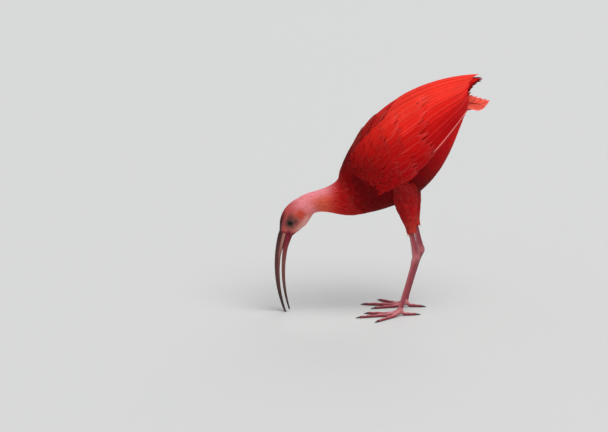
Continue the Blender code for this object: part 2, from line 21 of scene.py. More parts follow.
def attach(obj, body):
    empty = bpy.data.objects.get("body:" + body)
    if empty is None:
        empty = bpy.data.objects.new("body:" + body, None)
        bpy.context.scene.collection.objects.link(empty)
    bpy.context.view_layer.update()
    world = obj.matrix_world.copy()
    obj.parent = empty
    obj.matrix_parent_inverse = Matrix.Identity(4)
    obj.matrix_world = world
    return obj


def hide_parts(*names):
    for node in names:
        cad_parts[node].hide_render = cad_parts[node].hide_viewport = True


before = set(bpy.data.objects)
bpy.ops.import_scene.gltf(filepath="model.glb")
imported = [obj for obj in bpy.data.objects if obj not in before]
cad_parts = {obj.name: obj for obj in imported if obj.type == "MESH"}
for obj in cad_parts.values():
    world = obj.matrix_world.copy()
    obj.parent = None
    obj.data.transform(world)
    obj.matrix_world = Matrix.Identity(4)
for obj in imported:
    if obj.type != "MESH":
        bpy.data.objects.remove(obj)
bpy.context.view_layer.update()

# %% [markdown]
# ## Camera, floor and light
#
# The picture was taken with a long lens from a little above the bird's back. A long lens far away keeps
# the proportions of a side view. The floor is one pale sheet. The light is what a bright cloudy sky
# gives: a wide soft sun from above, a weaker one from behind the bird, both so far away that they light
# the whole floor alike, and a little light from everywhere.

# %% Camera
VIEW_TARGET = Vector((-0.1208, 0.0, 0.1532))
VIEW_WIDTH = 0.948
VIEW_RISE = math.radians(12.0)
VIEW_DISTANCE = 5.5
VIEW_LIMIT = 50.0


def placed(name, data):
    """A new object in the scene, for a mesh, a lamp or a camera."""
    made = bpy.data.objects.new(name, data)
    bpy.context.collection.objects.link(made)
    return made


def look_back(made, target, away, distance=1.0):
    """Puts a camera or lamp at a distance from its target, turned back to it."""
    made.location = target + away * distance
    made.rotation_euler = away.to_track_quat("Z", "Y").to_euler()


def make_camera():
    camera = bpy.data.cameras.new("camera")
    camera.lens = camera.sensor_width * VIEW_DISTANCE / VIEW_WIDTH
    camera.clip_end = VIEW_LIMIT
    made = placed("camera", camera)
    look_back(made, VIEW_TARGET, Vector((0.0, -math.cos(VIEW_RISE), math.sin(VIEW_RISE))), VIEW_DISTANCE)
    bpy.context.scene.camera = made
    return camera.lens


print("lens:", round(make_camera(), 1), "mm")

# %% Lamps and sky
SUNS = {  # where the light comes from, its width in degrees, strength
    "sun_over": ((0.35, -0.45, 1.00), 50.0, 2.55),
    "sun_back": ((0.30, 0.90, 0.60), 40.0, 0.55),
}
SKY_COLOUR = (0.93, 0.96, 1.0, 1.0)
SKY_STRENGTH = 0.36


def make_sun(name, source, width, strength):
    lamp = bpy.data.lights.new(name, "SUN")
    lamp.angle = math.radians(width)
    lamp.energy = strength
    look_back(placed(name, lamp), Vector(), Vector(source))


def make_sky():
    world = bpy.data.worlds.new("studio")
    world.use_nodes = True
    sky = world.node_tree.nodes["Background"]
    sky.inputs["Color"].default_value = SKY_COLOUR
    sky.inputs["Strength"].default_value = SKY_STRENGTH
    bpy.context.scene.world = world
    bpy.context.scene.view_settings.view_transform = "Standard"


for name, sun in SUNS.items():
    make_sun(name, *sun)
make_sky()
print("lights:", ", ".join(SUNS))

# %% Material and mesh basics
def settle(tree, node, values):
    """Gives input sockets, by name, a plain value or the output of another node."""
    for name, value in values.items():
        if isinstance(value, bpy.types.NodeSocket):
            tree.links.new(value, node.inputs[name])
        else:
            node.inputs[name].default_value = value


def new_material(name, values):
    """A material with these values on its main shader."""
    material = bpy.data.materials.new(name)
    material.use_nodes = True
    shader = material.node_tree.nodes["Principled BSDF"]
    settle(material.node_tree, shader, values)
    return material, material.node_tree, shader


def mesh_of(name, bm):
    """Turns a bmesh into a mesh and frees it."""
    mesh = bpy.data.meshes.new(name)
    bm.to_mesh(mesh)
    bm.free()
    return mesh


# %% Floor
FLOOR_SIZE = 60.0
FLOOR_GREY = (0.60, 0.60, 0.59, 1.0)


def make_floor():
    bm = bmesh.new()
    bmesh.ops.create_grid(bm, x_segments=1, y_segments=1, size=FLOOR_SIZE / 2)
    floor = placed("floor", mesh_of("floor", bm))
    floor.data.materials.append(new_material("floor", {"Base Color": FLOOR_GREY, "Roughness": 0.8})[0])
    return floor


print("floor:", make_floor().dimensions[0], "m wide")

# %% [markdown]
# ## Charts: where a place on the bird is
#
# Skin and feathers both need to know where the body's surface is. A chart answers that: it is a loft
# round a curve in the bird's middle plane, and a place on it is (t, angle, out). t runs from the head
# end to the tail end, the angle runs from the back line (0) over the left side (90) to the belly (180),
# and out is a height above the surface. The charts repeat the solids' own sizes, so all that is laid
# on them fits the solids. numpy works out thousands of places in one call.

# %% Chart helpers
BIRD_SHIFT = 0.0095  # the whole bird's move along X, as in the solids


def ease(share):
    """From 0 to 1, slow at both ends."""
    share = np.clip(share, 0.0, 1.0)
    return share * share * (3.0 - 2.0 * share)


def rising(value, start, end):
    """From 0 at the start to 1 at the end, slow at both."""
    return ease((value - start) / (end - start))


def mix(a, b, share):
    return a + (b - a) * share


def swell(t, sizes, fullest):
    """A half size that eases from the first end to the fullest place and on to the last end."""
    start, peak, end = sizes
    before = start + (peak - start) * np.sin(np.pi / 2 * t / fullest)
    after = end + (peak - end) * np.cos(np.pi / 2 * (np.minimum(t, 1.0) - fullest) / (1.0 - fullest))
    return np.where(t < fullest, before, after)


def unit(vectors):
    return vectors / np.linalg.norm(vectors, axis=-1, keepdims=True)


def run_of(points):
    """How far along a path each of its points lies."""
    return np.concatenate([[0.0], np.cumsum(np.linalg.norm(np.diff(points, axis=0), axis=1))])


# %% What every form can do
SHARE_STEP = 0.01
DEGREE_STEP = 2.0


class Form:
    """A surface round a path: at(t, angle, out) gives its places."""

    def along(self, values, t):
        """What is kept for the path's points, one or three numbers each, at shares t."""
        inside = np.clip(t, 0.0, 1.0) * self.length
        if values.ndim == 1:
            return np.interp(inside, self.run, values)
        return np.stack([np.interp(inside, self.run, column) for column in values.T], -1)

    def path(self, t):
        """The path's place and direction at t; beyond its ends it runs straight on."""
        ahead = unit(self.along(self.ahead, t))
        beyond = (t - np.clip(t, 0.0, 1.0)) * self.length
        return self.along(self.points, t) + ahead * beyond[..., None], ahead

    def scale(self, t, angle):
        """Metres for a whole t and for one degree of angle, at a place."""
        t = np.clip(t, SHARE_STEP, 1.0 - SHARE_STEP)
        lengthways = self.at(t + SHARE_STEP, angle) - self.at(t - SHARE_STEP, angle)
        around = self.at(t, angle + DEGREE_STEP) - self.at(t, angle - DEGREE_STEP)
        return (np.linalg.norm(lengthways, axis=-1) / (2 * SHARE_STEP),
                np.linalg.norm(around, axis=-1) / (2 * DEGREE_STEP))


# %% The chart of a loft
CHART_STEPS = 240


class Chart(Form):
    """Lofts end to end along Bezier curves; a part is (corners, half depth, half width, fullest)."""

    def __init__(self, *parts, square=1.0, mirrored=False):
        points, deep, wide = [], [], []
        u = np.linspace(0.0, 1.0, CHART_STEPS + 1)[:, None]
        v = 1.0 - u
        for corners, depth, width, fullest in parts:
            a, b, c, d = (np.array((x + BIRD_SHIFT, 0.0, z)) for x, z in corners)
            curve = a * v**3 + b * 3 * v * v * u + c * 3 * v * u * u + d * u**3
            share = run_of(curve)
            share = share / share[-1]
            first = 1 if points else 0
            points.append(curve[first:])
            deep.append(swell(share, depth, fullest)[first:])
            wide.append(swell(share, width, fullest)[first:])
        self.ends = np.cumsum([len(part) for part in points]) - 1
        self.points, self.deep, self.wide = (np.concatenate(kept) for kept in (points, deep, wide))
        self.run = run_of(self.points)
        self.length = self.run[-1]
        self.ahead = unit(np.gradient(self.points, self.run, axis=0))
        self.square = square
        self.side = 1.0 if mirrored else -1.0

    def at(self, t, angle, out=0.0):
        t, angle, out = np.broadcast_arrays(np.asarray(t, float), angle, out)
        middle, ahead = self.path(t)
        a = np.radians(angle)
        up = (self.along(self.deep, t) + out) * self.bent(np.cos(a))
        across = (self.along(self.wide, t) + out) * self.bent(np.sin(a)) * self.side
        back = np.stack([-ahead[..., 2], np.zeros_like(t), ahead[..., 0]], -1)
        place = middle + back * up[..., None]
        place[..., 1] += across
        return place

    def bent(self, wave):
        """Makes the section squarer than an ellipse, where square is under 1."""
        return np.sign(wave) * np.abs(wave) ** self.square

    def outward(self, t, angle):
        around = self.at(t, angle + 1.0) - self.at(t, angle - 1.0)
        lengthways = self.at(t + SHARE_STEP, angle) - self.at(t - SHARE_STEP, angle)
        return unit(np.cross(around, lengthways)) * -self.side


# %% The bird's charts
HEAD_LINE = ((-0.1580, 0.1266), (-0.1522, 0.1424), (-0.1412, 0.1577), (-0.1282, 0.1686))
NECK_LINE = ((-0.1282, 0.1686), (-0.1129, 0.1815), (-0.0819, 0.1767), (-0.0620, 0.1860))
TORSO_LINE = ((-0.0620, 0.1860), (-0.0272, 0.2022), (0.0936, 0.3320), (0.1243, 0.3373))
WING_LINE = ((-0.0380, 0.1954), (-0.0066, 0.2303), (0.0742, 0.3303), (0.1521, 0.3651))
HEAD_PART = (HEAD_LINE, (0.0110, 0.0205, 0.0170), (0.0080, 0.0175, 0.0155), 0.60)
NECK_PART = (NECK_LINE, (0.0170, 0.0158, 0.0332), (0.0155, 0.0142, 0.0250), 0.20)
TORSO_PART = (TORSO_LINE, (0.0332, 0.0650, 0.0075), (0.0250, 0.0450, 0.0140), 0.395)
WING_PART = (WING_LINE, (0.0454, 0.0688, 0.0171), (0.0310, 0.0580, 0.0160), 0.348)
WING_SQUARE = 0.80

BODY = Chart(HEAD_PART, NECK_PART, TORSO_PART)
HEAD_END, NECK_END = BODY.run[BODY.ends[:2]] / BODY.length
WINGS = {
    "left": Chart(WING_PART, square=WING_SQUARE),
    "right": Chart(WING_PART, square=WING_SQUARE, mirrored=True),
}
print("body chart:", round(BODY.length, 4), "m")
print("shares at the ends of head and neck:", round(HEAD_END, 3), round(NECK_END, 3))

# %% [markdown]
# ## Colours by place
#
# The bird is one deep scarlet that shifts from place to place: orange where the neck begins, rose on the
# nape and crown, maroon on the forehead, and salmon on the tail. Light and shade are painted over it as
# well: painted light on the tops of the wings, painted shade on the breast, the belly, the thighs and the
# wings' shoulders and lower edges. A few named colours are blended over one another by smooth functions of
# the place, and the result is kept as a colour attribute, so that skin and feathers carry the same
# markings and the same painted light and shade.

# %% Named colours
SCARLET = (0.86, 0.010, 0.007)
# painted light: a brighter scarlet for the tops of the wings
PAINTED_LIGHT_SCARLET = (0.93, 0.036, 0.020)
# painted shade: these two reds darken the breast, the belly, the thighs and the wing's shoulder and lower
# edge
DEEP_PAINTED_SHADE = (0.14, 0.001, 0.002)
BELLY_PAINTED_SHADE = (0.45, 0.003, 0.005)
NECK_RED = (0.60, 0.006, 0.007)
NECK_ORANGE = (0.72, 0.110, 0.062)
NAPE_ROSE = (0.88, 0.270, 0.300)
CROWN_ROSE = (0.60, 0.095, 0.095)
FACE_ROSE = (0.66, 0.155, 0.125)
MAROON = (0.055, 0.009, 0.011)
RING_BROWN = (0.125, 0.048, 0.036)
CHEEK_ORANGE = (0.60, 0.050, 0.025)
CHEEK_PALE = (0.90, 0.520, 0.470)
THROAT_RED = (0.24, 0.008, 0.024)
SALMON = (0.92, 0.150, 0.090)
# painted highlight for the rims of feathers
RIM_HIGHLIGHT_PINK = (1.0, 0.30, 0.26)


def blend(colour, other, share):
    """Lays another named colour over the colours, by a share for each."""
    return colour + (np.array(other) - colour) * share[..., None]


def plain(colour, like):
    return np.broadcast_to(np.array(colour, float), (*like.shape, 3)).copy()


def from_back(angle):
    """Degrees from the back line, whichever the side: 0 on the back and 180 on the belly."""
    return np.abs((angle + 180.0) % 360.0 - 180.0)


# %% The body's dye
FACE_SPOTS = (  # colour, strength, place and size in (share of the head, degrees from the back line)
    (CHEEK_ORANGE, 0.85, (0.68, 94.0), (0.12, 20.0)),
    (CHEEK_PALE, 0.75, (0.52, 150.0), (0.30, 28.0)),
    (RING_BROWN, 0.92, (0.37, 82.0), (0.185, 31.0)),
)


def spot(head, a, place, size):
    """A soft round spot on the head, from 0 to 1."""
    return np.exp(-(((head - place[0]) / size[0]) ** 4) - ((a - place[1]) / size[1]) ** 4)


def head_dye(head, a):
    """The head's colours: rose crown and face, spots, a crimson edge at the bill, a maroon forehead."""
    colour = blend(plain(CROWN_ROSE, head), NAPE_ROSE, rising(head, 0.55, 1.0))
    colour = blend(colour, FACE_ROSE, rising(a, 60.0, 100.0) * (1.0 - rising(head, 0.7, 1.1)))
    for other, strength, place, size in FACE_SPOTS:
        colour = blend(colour, other, strength * spot(head, a, place, size))
    colour = blend(colour, THROAT_RED, 0.90 * (1.0 - rising(head, 0.05, 0.21)) * rising(a, 78.0, 94.0))
    colour = blend(colour, THROAT_RED, 0.85 * (1.0 - rising(head, 0.01, 0.08)) * rising(a, 30.0, 50.0))
    return blend(colour, MAROON, (1.0 - rising(head, 0.24, 0.58)) * (1.0 - rising(a, 30.0, 54.0)))


# The body's colours, with painted shade on the breast, the neck's base and the belly.
def body_colour_and_painted_shade(t, angle):
    a = from_back(angle)
    neck = (t - HEAD_END) / (NECK_END - HEAD_END)
    torso = (t - NECK_END) / (1.0 - NECK_END)
    colour = head_dye(t / HEAD_END, a)
    colour = blend(colour, NECK_ORANGE, rising(neck, -0.1, 0.3) * rising(a, 25.0, 85.0))
    colour = blend(colour, NECK_RED, ease((neck - 0.28) / 0.44 + (a - 90.0) / 600.0))
    # painted shade: deep red on the breast and the neck's base
    colour = blend(colour, DEEP_PAINTED_SHADE, rising(neck, 0.45, 1.25))
    # scarlet over the back, so that only the sides and the underside keep the painted shade
    colour = blend(colour, SCARLET, rising(torso, 0.06, 0.51) * (1.0 - rising(a, 70.0, 120.0)))
    # painted shade on the belly
    colour = blend(colour, BELLY_PAINTED_SHADE, rising(torso, 0.3, 0.65) * rising(a, 60.0, 110.0))
    # less painted shade towards the rump
    colour = blend(colour, SCARLET, 0.65 * rising(torso, 0.6, 0.8))
    return blend(colour, SALMON, rising(torso, 0.84, 0.96) * 0.6)


print("markings:", len(FACE_SPOTS), "spots on the face")

# %% [markdown]
# ## Materials
#
# Feathers are made of barbs that lie side by side like the teeth of a comb, aslant from the shaft. They
# look matt along the barbs, with a soft sheen at a low angle. The plumage material takes its colour from
# the colour attribute, which carries the painted light and shade, mottles it with noise, and draws the
# barbs as a fine wave in the bump, using each feather's own UV map, "vane". Skin, horn and scales are
# their own materials below.

# %% Material helpers
EVEN = (1.0, 1.0, 1.0)


def add_node(tree, kind, values=None, **settings):
    """A shader node with its settings, and with values or other outputs on its input sockets."""
    made = tree.nodes.new("ShaderNode" + kind)
    for name, value in settings.items():
        setattr(made, name, value)
    settle(tree, made, values or {})
    return made


def maths(tree, operation, *numbers):
    """A Math node on numbers or outputs."""
    made = add_node(tree, "Math", operation=operation)
    settle(tree, made, dict(enumerate(numbers)))
    return made.outputs[0]


def pattern(tree, kind, output, stretch, values, **settings):
    """A texture on Object coordinates, stretched along the three axes."""
    place = add_node(tree, "TexCoord").outputs["Object"]
    mapped = add_node(tree, "Mapping", {"Vector": place, "Scale": stretch}).outputs["Vector"]
    return add_node(tree, kind, {**values, "Vector": mapped}, **settings).outputs[output]


def noise(tree, scale, stretch=EVEN, detail=3.0):
    """Soft noise from 0 to 1."""
    return pattern(tree, "TexNoise", "Fac", stretch, {"Scale": scale, "Detail": detail})


def cell_edges(tree, scale, stretch=EVEN):
    """The distance from the edges of small, many-sided cells."""
    return pattern(tree, "TexVoronoi", "Distance", stretch, {"Scale": scale}, feature="DISTANCE_TO_EDGE")


def span(tree, value, low, high, most=1.0):
    """Maps 0..most onto low..high."""
    values = {"Value": value, "From Max": most, "To Min": low, "To Max": high}
    return add_node(tree, "MapRange", values).outputs["Result"]


def uv_parts(tree, name):
    """A UV map's two numbers, as the outputs X and Y."""
    split = add_node(tree, "SeparateXYZ")
    tree.links.new(add_node(tree, "UVMap", uv_map=name).outputs["UV"], split.inputs[0])
    return split.outputs


def coloured_by_attribute(tree, shader, strength):
    """Sets the base colour to the colour attribute, with its painted light and shade, times a strength."""
    colour_and_painted_light = add_node(tree, "Attribute", attribute_name="colour_and_painted_light")
    times = add_node(tree, "VectorMath", {0: colour_and_painted_light.outputs["Color"], "Scale": strength}, operation="SCALE")
    settle(tree, shader, {"Base Color": times.outputs[0]})


def bump(tree, shader, height, distance):
    made = add_node(tree, "Bump", {"Height": height, "Distance": distance})
    settle(tree, shader, {"Normal": made.outputs["Normal"]})


# %% Plumage material
PLUMAGE = {
    "Roughness": 0.68, "Specular IOR Level": 0.04,
    "Sheen Weight": 0.08, "Sheen Roughness": 0.40, "Sheen Tint": (1.0, 0.20, 0.16, 1.0),
}
BARB_HEIGHT = 0.00006


def make_plumage(name, barbs, spread):
    """Feathers with so many barbs along the vane, and so much slant away from the shaft."""
    material, tree, shader = new_material(name, PLUMAGE)
    vane = uv_parts(tree, "vane")
    from_shaft = maths(tree, "ABSOLUTE", maths(tree, "SUBTRACT", vane["Y"], 0.5))
    slant = maths(tree, "SUBTRACT", vane["X"], maths(tree, "MULTIPLY", from_shaft, spread))
    wave = maths(tree, "SINE", maths(tree, "MULTIPLY", slant, barbs * math.tau))
    wave = maths(tree, "MULTIPLY_ADD", wave, 0.5, 0.5)
    fine, broad = span(tree, noise(tree, 260.0), 0.86, 1.12), span(tree, noise(tree, 38.0), 0.84, 1.16)
    mottle = maths(tree, "MULTIPLY", fine, broad)
    coloured_by_attribute(tree, shader, maths(tree, "MULTIPLY", mottle, span(tree, wave, 0.95, 1.03)))
    bump(tree, shader, wave, BARB_HEIGHT)
    return material


BODY_PLUMAGE = make_plumage("body_plumage", 16.0, 0.5)
WING_PLUMAGE = make_plumage("wing_plumage", 130.0, 0.22)
print("plumage:", BODY_PLUMAGE.name, WING_PLUMAGE.name)

# %% Skin and scales
BARE_FACE = {
    "Roughness": 0.48, "Specular IOR Level": 0.24,
    "Subsurface Weight": 0.08, "Subsurface Radius": (0.004, 0.001, 0.001),
}
PORE_HEIGHT, SCALE_HEIGHT = 0.0007, 0.0005
SCALE_LONG = (1.0, 1.0, 0.62)


def make_skin():
    """Bare skin: wrinkles and small pores over the same dye as the feathers."""
    material, tree, shader = new_material("bare_face", BARE_FACE)
    coloured_by_attribute(tree, shader, span(tree, noise(tree, 330.0, detail=6.0), 0.60, 1.34))
    wrinkles = maths(tree, "MULTIPLY", noise(tree, 240.0, (1.0, 1.0, 2.4), 5.0), 2.0)
    bump(tree, shader, maths(tree, "ADD", cell_edges(tree, 900.0), wrinkles), PORE_HEIGHT)
    return material


def make_scaly():
    """Legs and feet: small polygonal scales with paler middles and dark seams."""
    material, tree, shader = new_material("scaly_skin", {"Roughness": 0.38})
    scales = span(tree, cell_edges(tree, 820.0, SCALE_LONG), 0.78, 1.04, most=0.12)
    patches = span(tree, noise(tree, 120.0), 0.80, 1.20)
    coloured_by_attribute(tree, shader, maths(tree, "MULTIPLY", scales, patches))
    bump(tree, shader, scales, SCALE_HEIGHT)
    return material


# %% Horn and claw
STREAKS_LONG, RINGS_LONG = (3.0, 3.0, 0.35), (2.0, 2.0, 0.4)
RING_HEIGHT = 0.00018


def make_horn():
    """The bill: satin horn with long streaks and faint growth rings."""
    material, tree, shader = new_material("bill_horn", {"Roughness": 0.36, "Specular IOR Level": 0.30})
    coloured_by_attribute(tree, shader, span(tree, noise(tree, 160.0, STREAKS_LONG, 5.0), 0.62, 1.30))
    bump(tree, shader, noise(tree, 700.0, RINGS_LONG), RING_HEIGHT)
    return material


def make_claw():
    material, tree, shader = new_material("claw_horn", {"Roughness": 0.30})
    coloured_by_attribute(tree, shader, span(tree, noise(tree, 500.0), 0.6, 1.3))
    return material


SKIN, SCALY, HORN, CLAW = make_skin(), make_scaly(), make_horn(), make_claw()
print("materials:", ", ".join(made.name for made in (SKIN, SCALY, HORN, CLAW)))

# %% [markdown]
# ## Shared making steps
#
# Lofts start from a flat grid, whose two directions become the way along and the way round a form. The
# seam is then welded and the ends are filled. A colour attribute is painted by place before the mesh is
# handed on.

# %% Places and paint
WELD = 1e-6


def grid_places(bm):
    """The grid's vertices as an array, from -1 to 1 both ways."""
    return np.array([v.co[:] for v in bm.verts])


def set_places(bm, places):
    for v, place in zip(bm.verts, places):
        v.co = place


def places_of(mesh):
    flat = np.empty(len(mesh.vertices) * 3)
    mesh.vertices.foreach_get("co", flat)
    return flat.reshape(-1, 3)


def paint(mesh, colours):
    layer = mesh.color_attributes.new(name="colour_and_painted_light", type="FLOAT_COLOR", domain="POINT")
    full = np.ones((len(mesh.vertices), 4))
    full[:, :3] = np.clip(colours.reshape(-1, 3), 0.0, 1.0)
    layer.data.foreach_set("color", full.ravel())


def one_colour(colour):
    """A colour function of places that is the same everywhere."""
    return lambda places: plain(colour, places[:, 0])


def above_floor(bm):
    for v in bm.verts:
        v.co.z = max(v.co.z, 0.0)


# %% Lofts and pieces
def finished(name, bm, material, colour_and_painted_light=None, smooth=True):
    """Closes a bmesh into an object with its material; a colour function of places gives the colour
    attribute, with any painted light and shade.
    """
    bmesh.ops.recalc_face_normals(bm, faces=bm.faces)
    if bm.calc_volume(signed=True) < 0:
        bmesh.ops.reverse_faces(bm, faces=bm.faces)
    made = placed(name, mesh_of(name, bm))
    made.data.materials.append(material)
    if smooth:
        made.data.shade_smooth()
    if colour_and_painted_light is not None:
        paint(made.data, colour_and_painted_light(places_of(made.data)))
    return made


def close_loft(bm):
    bmesh.ops.remove_doubles(bm, verts=bm.verts, dist=WELD)
    ends = [e for e in bm.edges if e.is_boundary]
    if ends:
        bmesh.ops.holes_fill(bm, edges=ends, sides=0)


def loft(form, around, rings, start=0.0, end=1.0, out=0.0, crowded=1.0):
    """A closed loft; out is a height or a function of t and angle; rings may crowd at the start."""
    bm = bmesh.new()
    bmesh.ops.create_grid(bm, x_segments=around, y_segments=rings, size=1.0)
    flat = grid_places(bm)
    t, angle = mix(start, end, ((flat[:, 1] + 1.0) / 2) ** crowded), 180.0 * (flat[:, 0] + 1.0)
    angle[flat[:, 0] > 0.9999] = 360.0
    set_places(bm, form.at(t, angle, out(t, angle) if callable(out) else out))
    close_loft(bm)
    return bm


def dress(piece, slot, *nodes):
    """Puts a finished piece on the frame."""
    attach(piece, "root")
    if nodes:
        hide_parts(*nodes)
    return piece


# %% [markdown]
# ## Skin
#
# Under its feathers the bird has one skin, from the root of the bill to the tail, with the thighs
# growing out of it. It is one loft round the body chart, sunk by the depth of the coat, and the thighs
# are joined to it. On the face there is no coat, so the skin comes up to the solids' surface there, and
# the face is modelled in it: the hollow of the lores, the brow, the cheek, the fold of the mouth's corner
# and the fine folds of the throat.

# %% Eye and coat sizes
EYE_PLACE = (0.36 * HEAD_END, 82.0)
EYE_RADIUS = 0.0046
EYE_SUNK = 0.0031
FACE_END = 0.30
COAT = {"head": 0.0006, "neck": 0.0010, "torso": 0.0019}


def coat_depth(t):
    head, neck = t / HEAD_END, (t - HEAD_END) / (NECK_END - HEAD_END)
    depth = mix(0.0, COAT["head"], rising(head, FACE_END, FACE_END + 0.25))
    depth = mix(depth, COAT["neck"], ease(neck / 0.4))
    return mix(depth, COAT["torso"], rising(neck, 0.6, 1.2))


# %% The face's relief
FACE_FORMS = (  # place and size in (share of the head, degrees from the back line), height
    ((0.36, 82.0), (0.20, 26.0), -0.0012),  # the hollow round the eye
    ((0.34, 48.0), (0.26, 13.0), 0.0006),  # the brow
    ((0.10, 74.0), (0.16, 20.0), -0.0008),  # the lores
    ((0.30, 124.0), (0.22, 22.0), 0.0007),  # the cheek
)
MOUTH_LINE = (104.0, 10.0)
LIPS = (11.0, 0.30, 0.0006)  # width in degrees, share of the head that they reach, height
MOUTH_FOLD = (4.5, 0.26, 0.0015)
THROAT_FOLD = 0.00022
LIP_LENGTH = 0.0060
LIP_RISE = 0.0002
UNDER_HORN = 0.0016


def face_relief(t, angle):
    head, a = t / HEAD_END, from_back(angle)
    relief = 0.0
    for place, size, height in FACE_FORMS:
        relief += height * np.exp(-(((head - place[0]) / size[0]) ** 2) - ((a - place[1]) / size[1]) ** 2)
    off_mouth = a - MOUTH_LINE[0] - MOUTH_LINE[1] * np.clip(head, 0.0, 0.4)
    for width, reach, height in (LIPS, (*MOUTH_FOLD[:2], -MOUTH_FOLD[2])):
        relief += height * np.exp(-((off_mouth / width) ** 2)) * (1.0 - ease(head / reach))
    wrinkles = np.sin(a * 0.55 + head * 14.0) * np.sin(head * 60.0)
    throat = rising(a, 125.0, 150.0) * (1.0 - rising(head, 0.2, 0.4))
    return relief + wrinkles * throat * THROAT_FOLD


def skin_height(t, angle):
    """The skin over the body chart, from the lip that runs under the horn of the bill."""
    from_lip = (t + LIP_LENGTH) / LIP_LENGTH
    lip = LIP_RISE * (1.0 - ease(t / HEAD_END / 0.12)) * ease(from_lip * 1.2 + 0.1)
    return face_relief(t, angle) + lip - UNDER_HORN * (1.0 - ease(from_lip)) - coat_depth(t)


# %% Limbs
PATH_STEPS = 40


class Limb(Form):
    """A round form along a smooth path through a few points, with a radius at each."""

    def __init__(self, points, radii, squash=1.0):
        knots = np.array([tuple(p) for p in points])
        steps = np.linalg.norm(np.diff(knots, axis=0), axis=1)
        where = run_of(knots)
        slopes = np.gradient(knots, where, axis=0)
        self.run = np.linspace(0.0, where[-1], PATH_STEPS * len(knots))
        i = np.clip(np.searchsorted(where, self.run, side="right") - 1, 0, len(steps) - 1)
        gap = steps[i][:, None]
        u = (self.run - where[i])[:, None] / gap
        self.points = (
            (2 * u**3 - 3 * u**2 + 1) * knots[i] + (u**3 - 2 * u**2 + u) * slopes[i] * gap
            + (3 * u**2 - 2 * u**3) * knots[i + 1] + (u**3 - u**2) * slopes[i + 1] * gap
        )
        self.radii = np.interp(self.run, where, radii)
        self.length = where[-1]
        self.ahead = unit(np.gradient(self.points, self.run, axis=0))
        self.squash = squash

    def at(self, t, angle, out=0.0):
        t, angle, out = np.broadcast_arrays(np.asarray(t, float), angle, out)
        middle, ahead = self.path(t)
        sideways = unit(np.cross(ahead, np.array((1.0, 0.0, 0.3))))
        up = np.cross(sideways, ahead)
        radius = self.along(self.radii, t) + out
        a = np.radians(angle)
        place = middle + up * (radius * np.cos(a))[..., None]
        return place + sideways * (radius * self.squash * np.sin(a))[..., None]


# %% Leg places
LEGS = {  # knee, hock and the base of the foot, before the bird's shift
    "left": ((0.0220, -0.0220, 0.2120), (0.0440, -0.0260, 0.0930), (0.0190, -0.0290, 0.0085)),
    "right": ((0.0280, 0.0230, 0.2120), (0.0530, 0.0280, 0.0940), (0.0290, 0.0320, 0.0085)),
}
LEGS = {side: [Vector(p) + Vector((BIRD_SHIFT, 0, 0)) for p in places] for side, places in LEGS.items()}
THIGH_SHARE = 0.60
THIGH_RADIUS = (0.0205, 0.0066)
THIGH_STEPS = 8


def thigh_limb(side):
    """The thigh, from a little above the knee; its radius falls like a quarter wave."""
    knee, hock, _ = LEGS[side]
    shares = [i / THIGH_STEPS for i in range(-1, THIGH_STEPS + 1)]
    points = [knee.lerp(hock, THIGH_SHARE * s) for s in shares]
    wide, thin = THIGH_RADIUS
    return Limb(points, [mix(thin, wide, math.cos(math.pi / 2 * max(s, 0.0))) for s in shares])


THIGHS = {side: thigh_limb(side) for side in LEGS}
print("thighs:", [round(limb.length, 4) for limb in THIGHS.values()], "m")

# %% Modifiers and joins
def apply_modifiers(made):
    bpy.context.view_layer.update()
    graph = bpy.context.evaluated_depsgraph_get()
    mesh = bpy.data.meshes.new_from_object(made.evaluated_get(graph))
    made.modifiers.clear()
    made.data = mesh


def joined(body, others):
    """Joins the other objects to the body by a Boolean and removes them."""
    group = bpy.data.collections.new("pieces")
    bpy.context.scene.collection.children.link(group)
    for other in others:
        bpy.context.collection.objects.unlink(other)
        group.objects.link(other)
    union = body.modifiers.new("join", "BOOLEAN")
    union.operation = "UNION"
    union.solver = "MANIFOLD"
    union.operand_type = "COLLECTION"
    union.collection = group
    apply_modifiers(body)
    for other in others:
        bpy.data.objects.remove(other)
    bpy.data.collections.remove(group)
    return body


# %% One skin from the bill to the tail
DYE_ROWS, DYE_CROWDED = 180, 1.6
DYE_STEP = 4.0
DYE_NEAREST, DYE_SOFT = 4, 0.0002
SKIN_CELLS, SKIN_CROWDED = (96, 170), 2.0
SKIN_END = 0.985
THIGH_CELLS = (24, 12)
THIGH_SKIN = (0.10, 0.97, -0.0015)  # start, end, height


def nearest_colour_and_painted_shade(places):
    """The body's colour, with its painted shade, for any place, from the nearest places on the body chart.
    """
    t, angle = np.meshgrid(np.linspace(0.0, 1.0, DYE_ROWS) ** DYE_CROWDED, np.arange(0.0, 360.0, DYE_STEP))
    t, angle = t.ravel(), angle.ravel()
    tree = KDTree(len(t))
    for i, place in enumerate(BODY.at(t, angle)):
        tree.insert(place, i)
    tree.balance()
    near = [tree.find_n(place, DYE_NEAREST) for place in places]
    index = np.array([[hit[1] for hit in hits] for hits in near])
    share = 1.0 / (np.array([[hit[2] for hit in hits] for hits in near]) + DYE_SOFT)
    share = share / share.sum(1, keepdims=True)
    return (body_colour_and_painted_shade(t, angle)[index] * share[..., None]).sum(1)


def make_skin_piece():
    bm = loft(BODY, *SKIN_CELLS, -LIP_LENGTH, SKIN_END, skin_height, SKIN_CROWDED)
    body = finished("skin", bm, SKIN)
    thighs = [finished("thigh", loft(limb, *THIGH_CELLS, *THIGH_SKIN), SKIN) for limb in THIGHS.values()]
    body = joined(body, thighs)
    body.data.shade_smooth()
    paint(body.data, nearest_colour_and_painted_shade(places_of(body.data)))
    return dress(body, "neck_plumage", "torso", "neck", "head", "thigh_left", "thigh_right")


print("skin:", len(make_skin_piece().data.polygons), "faces")

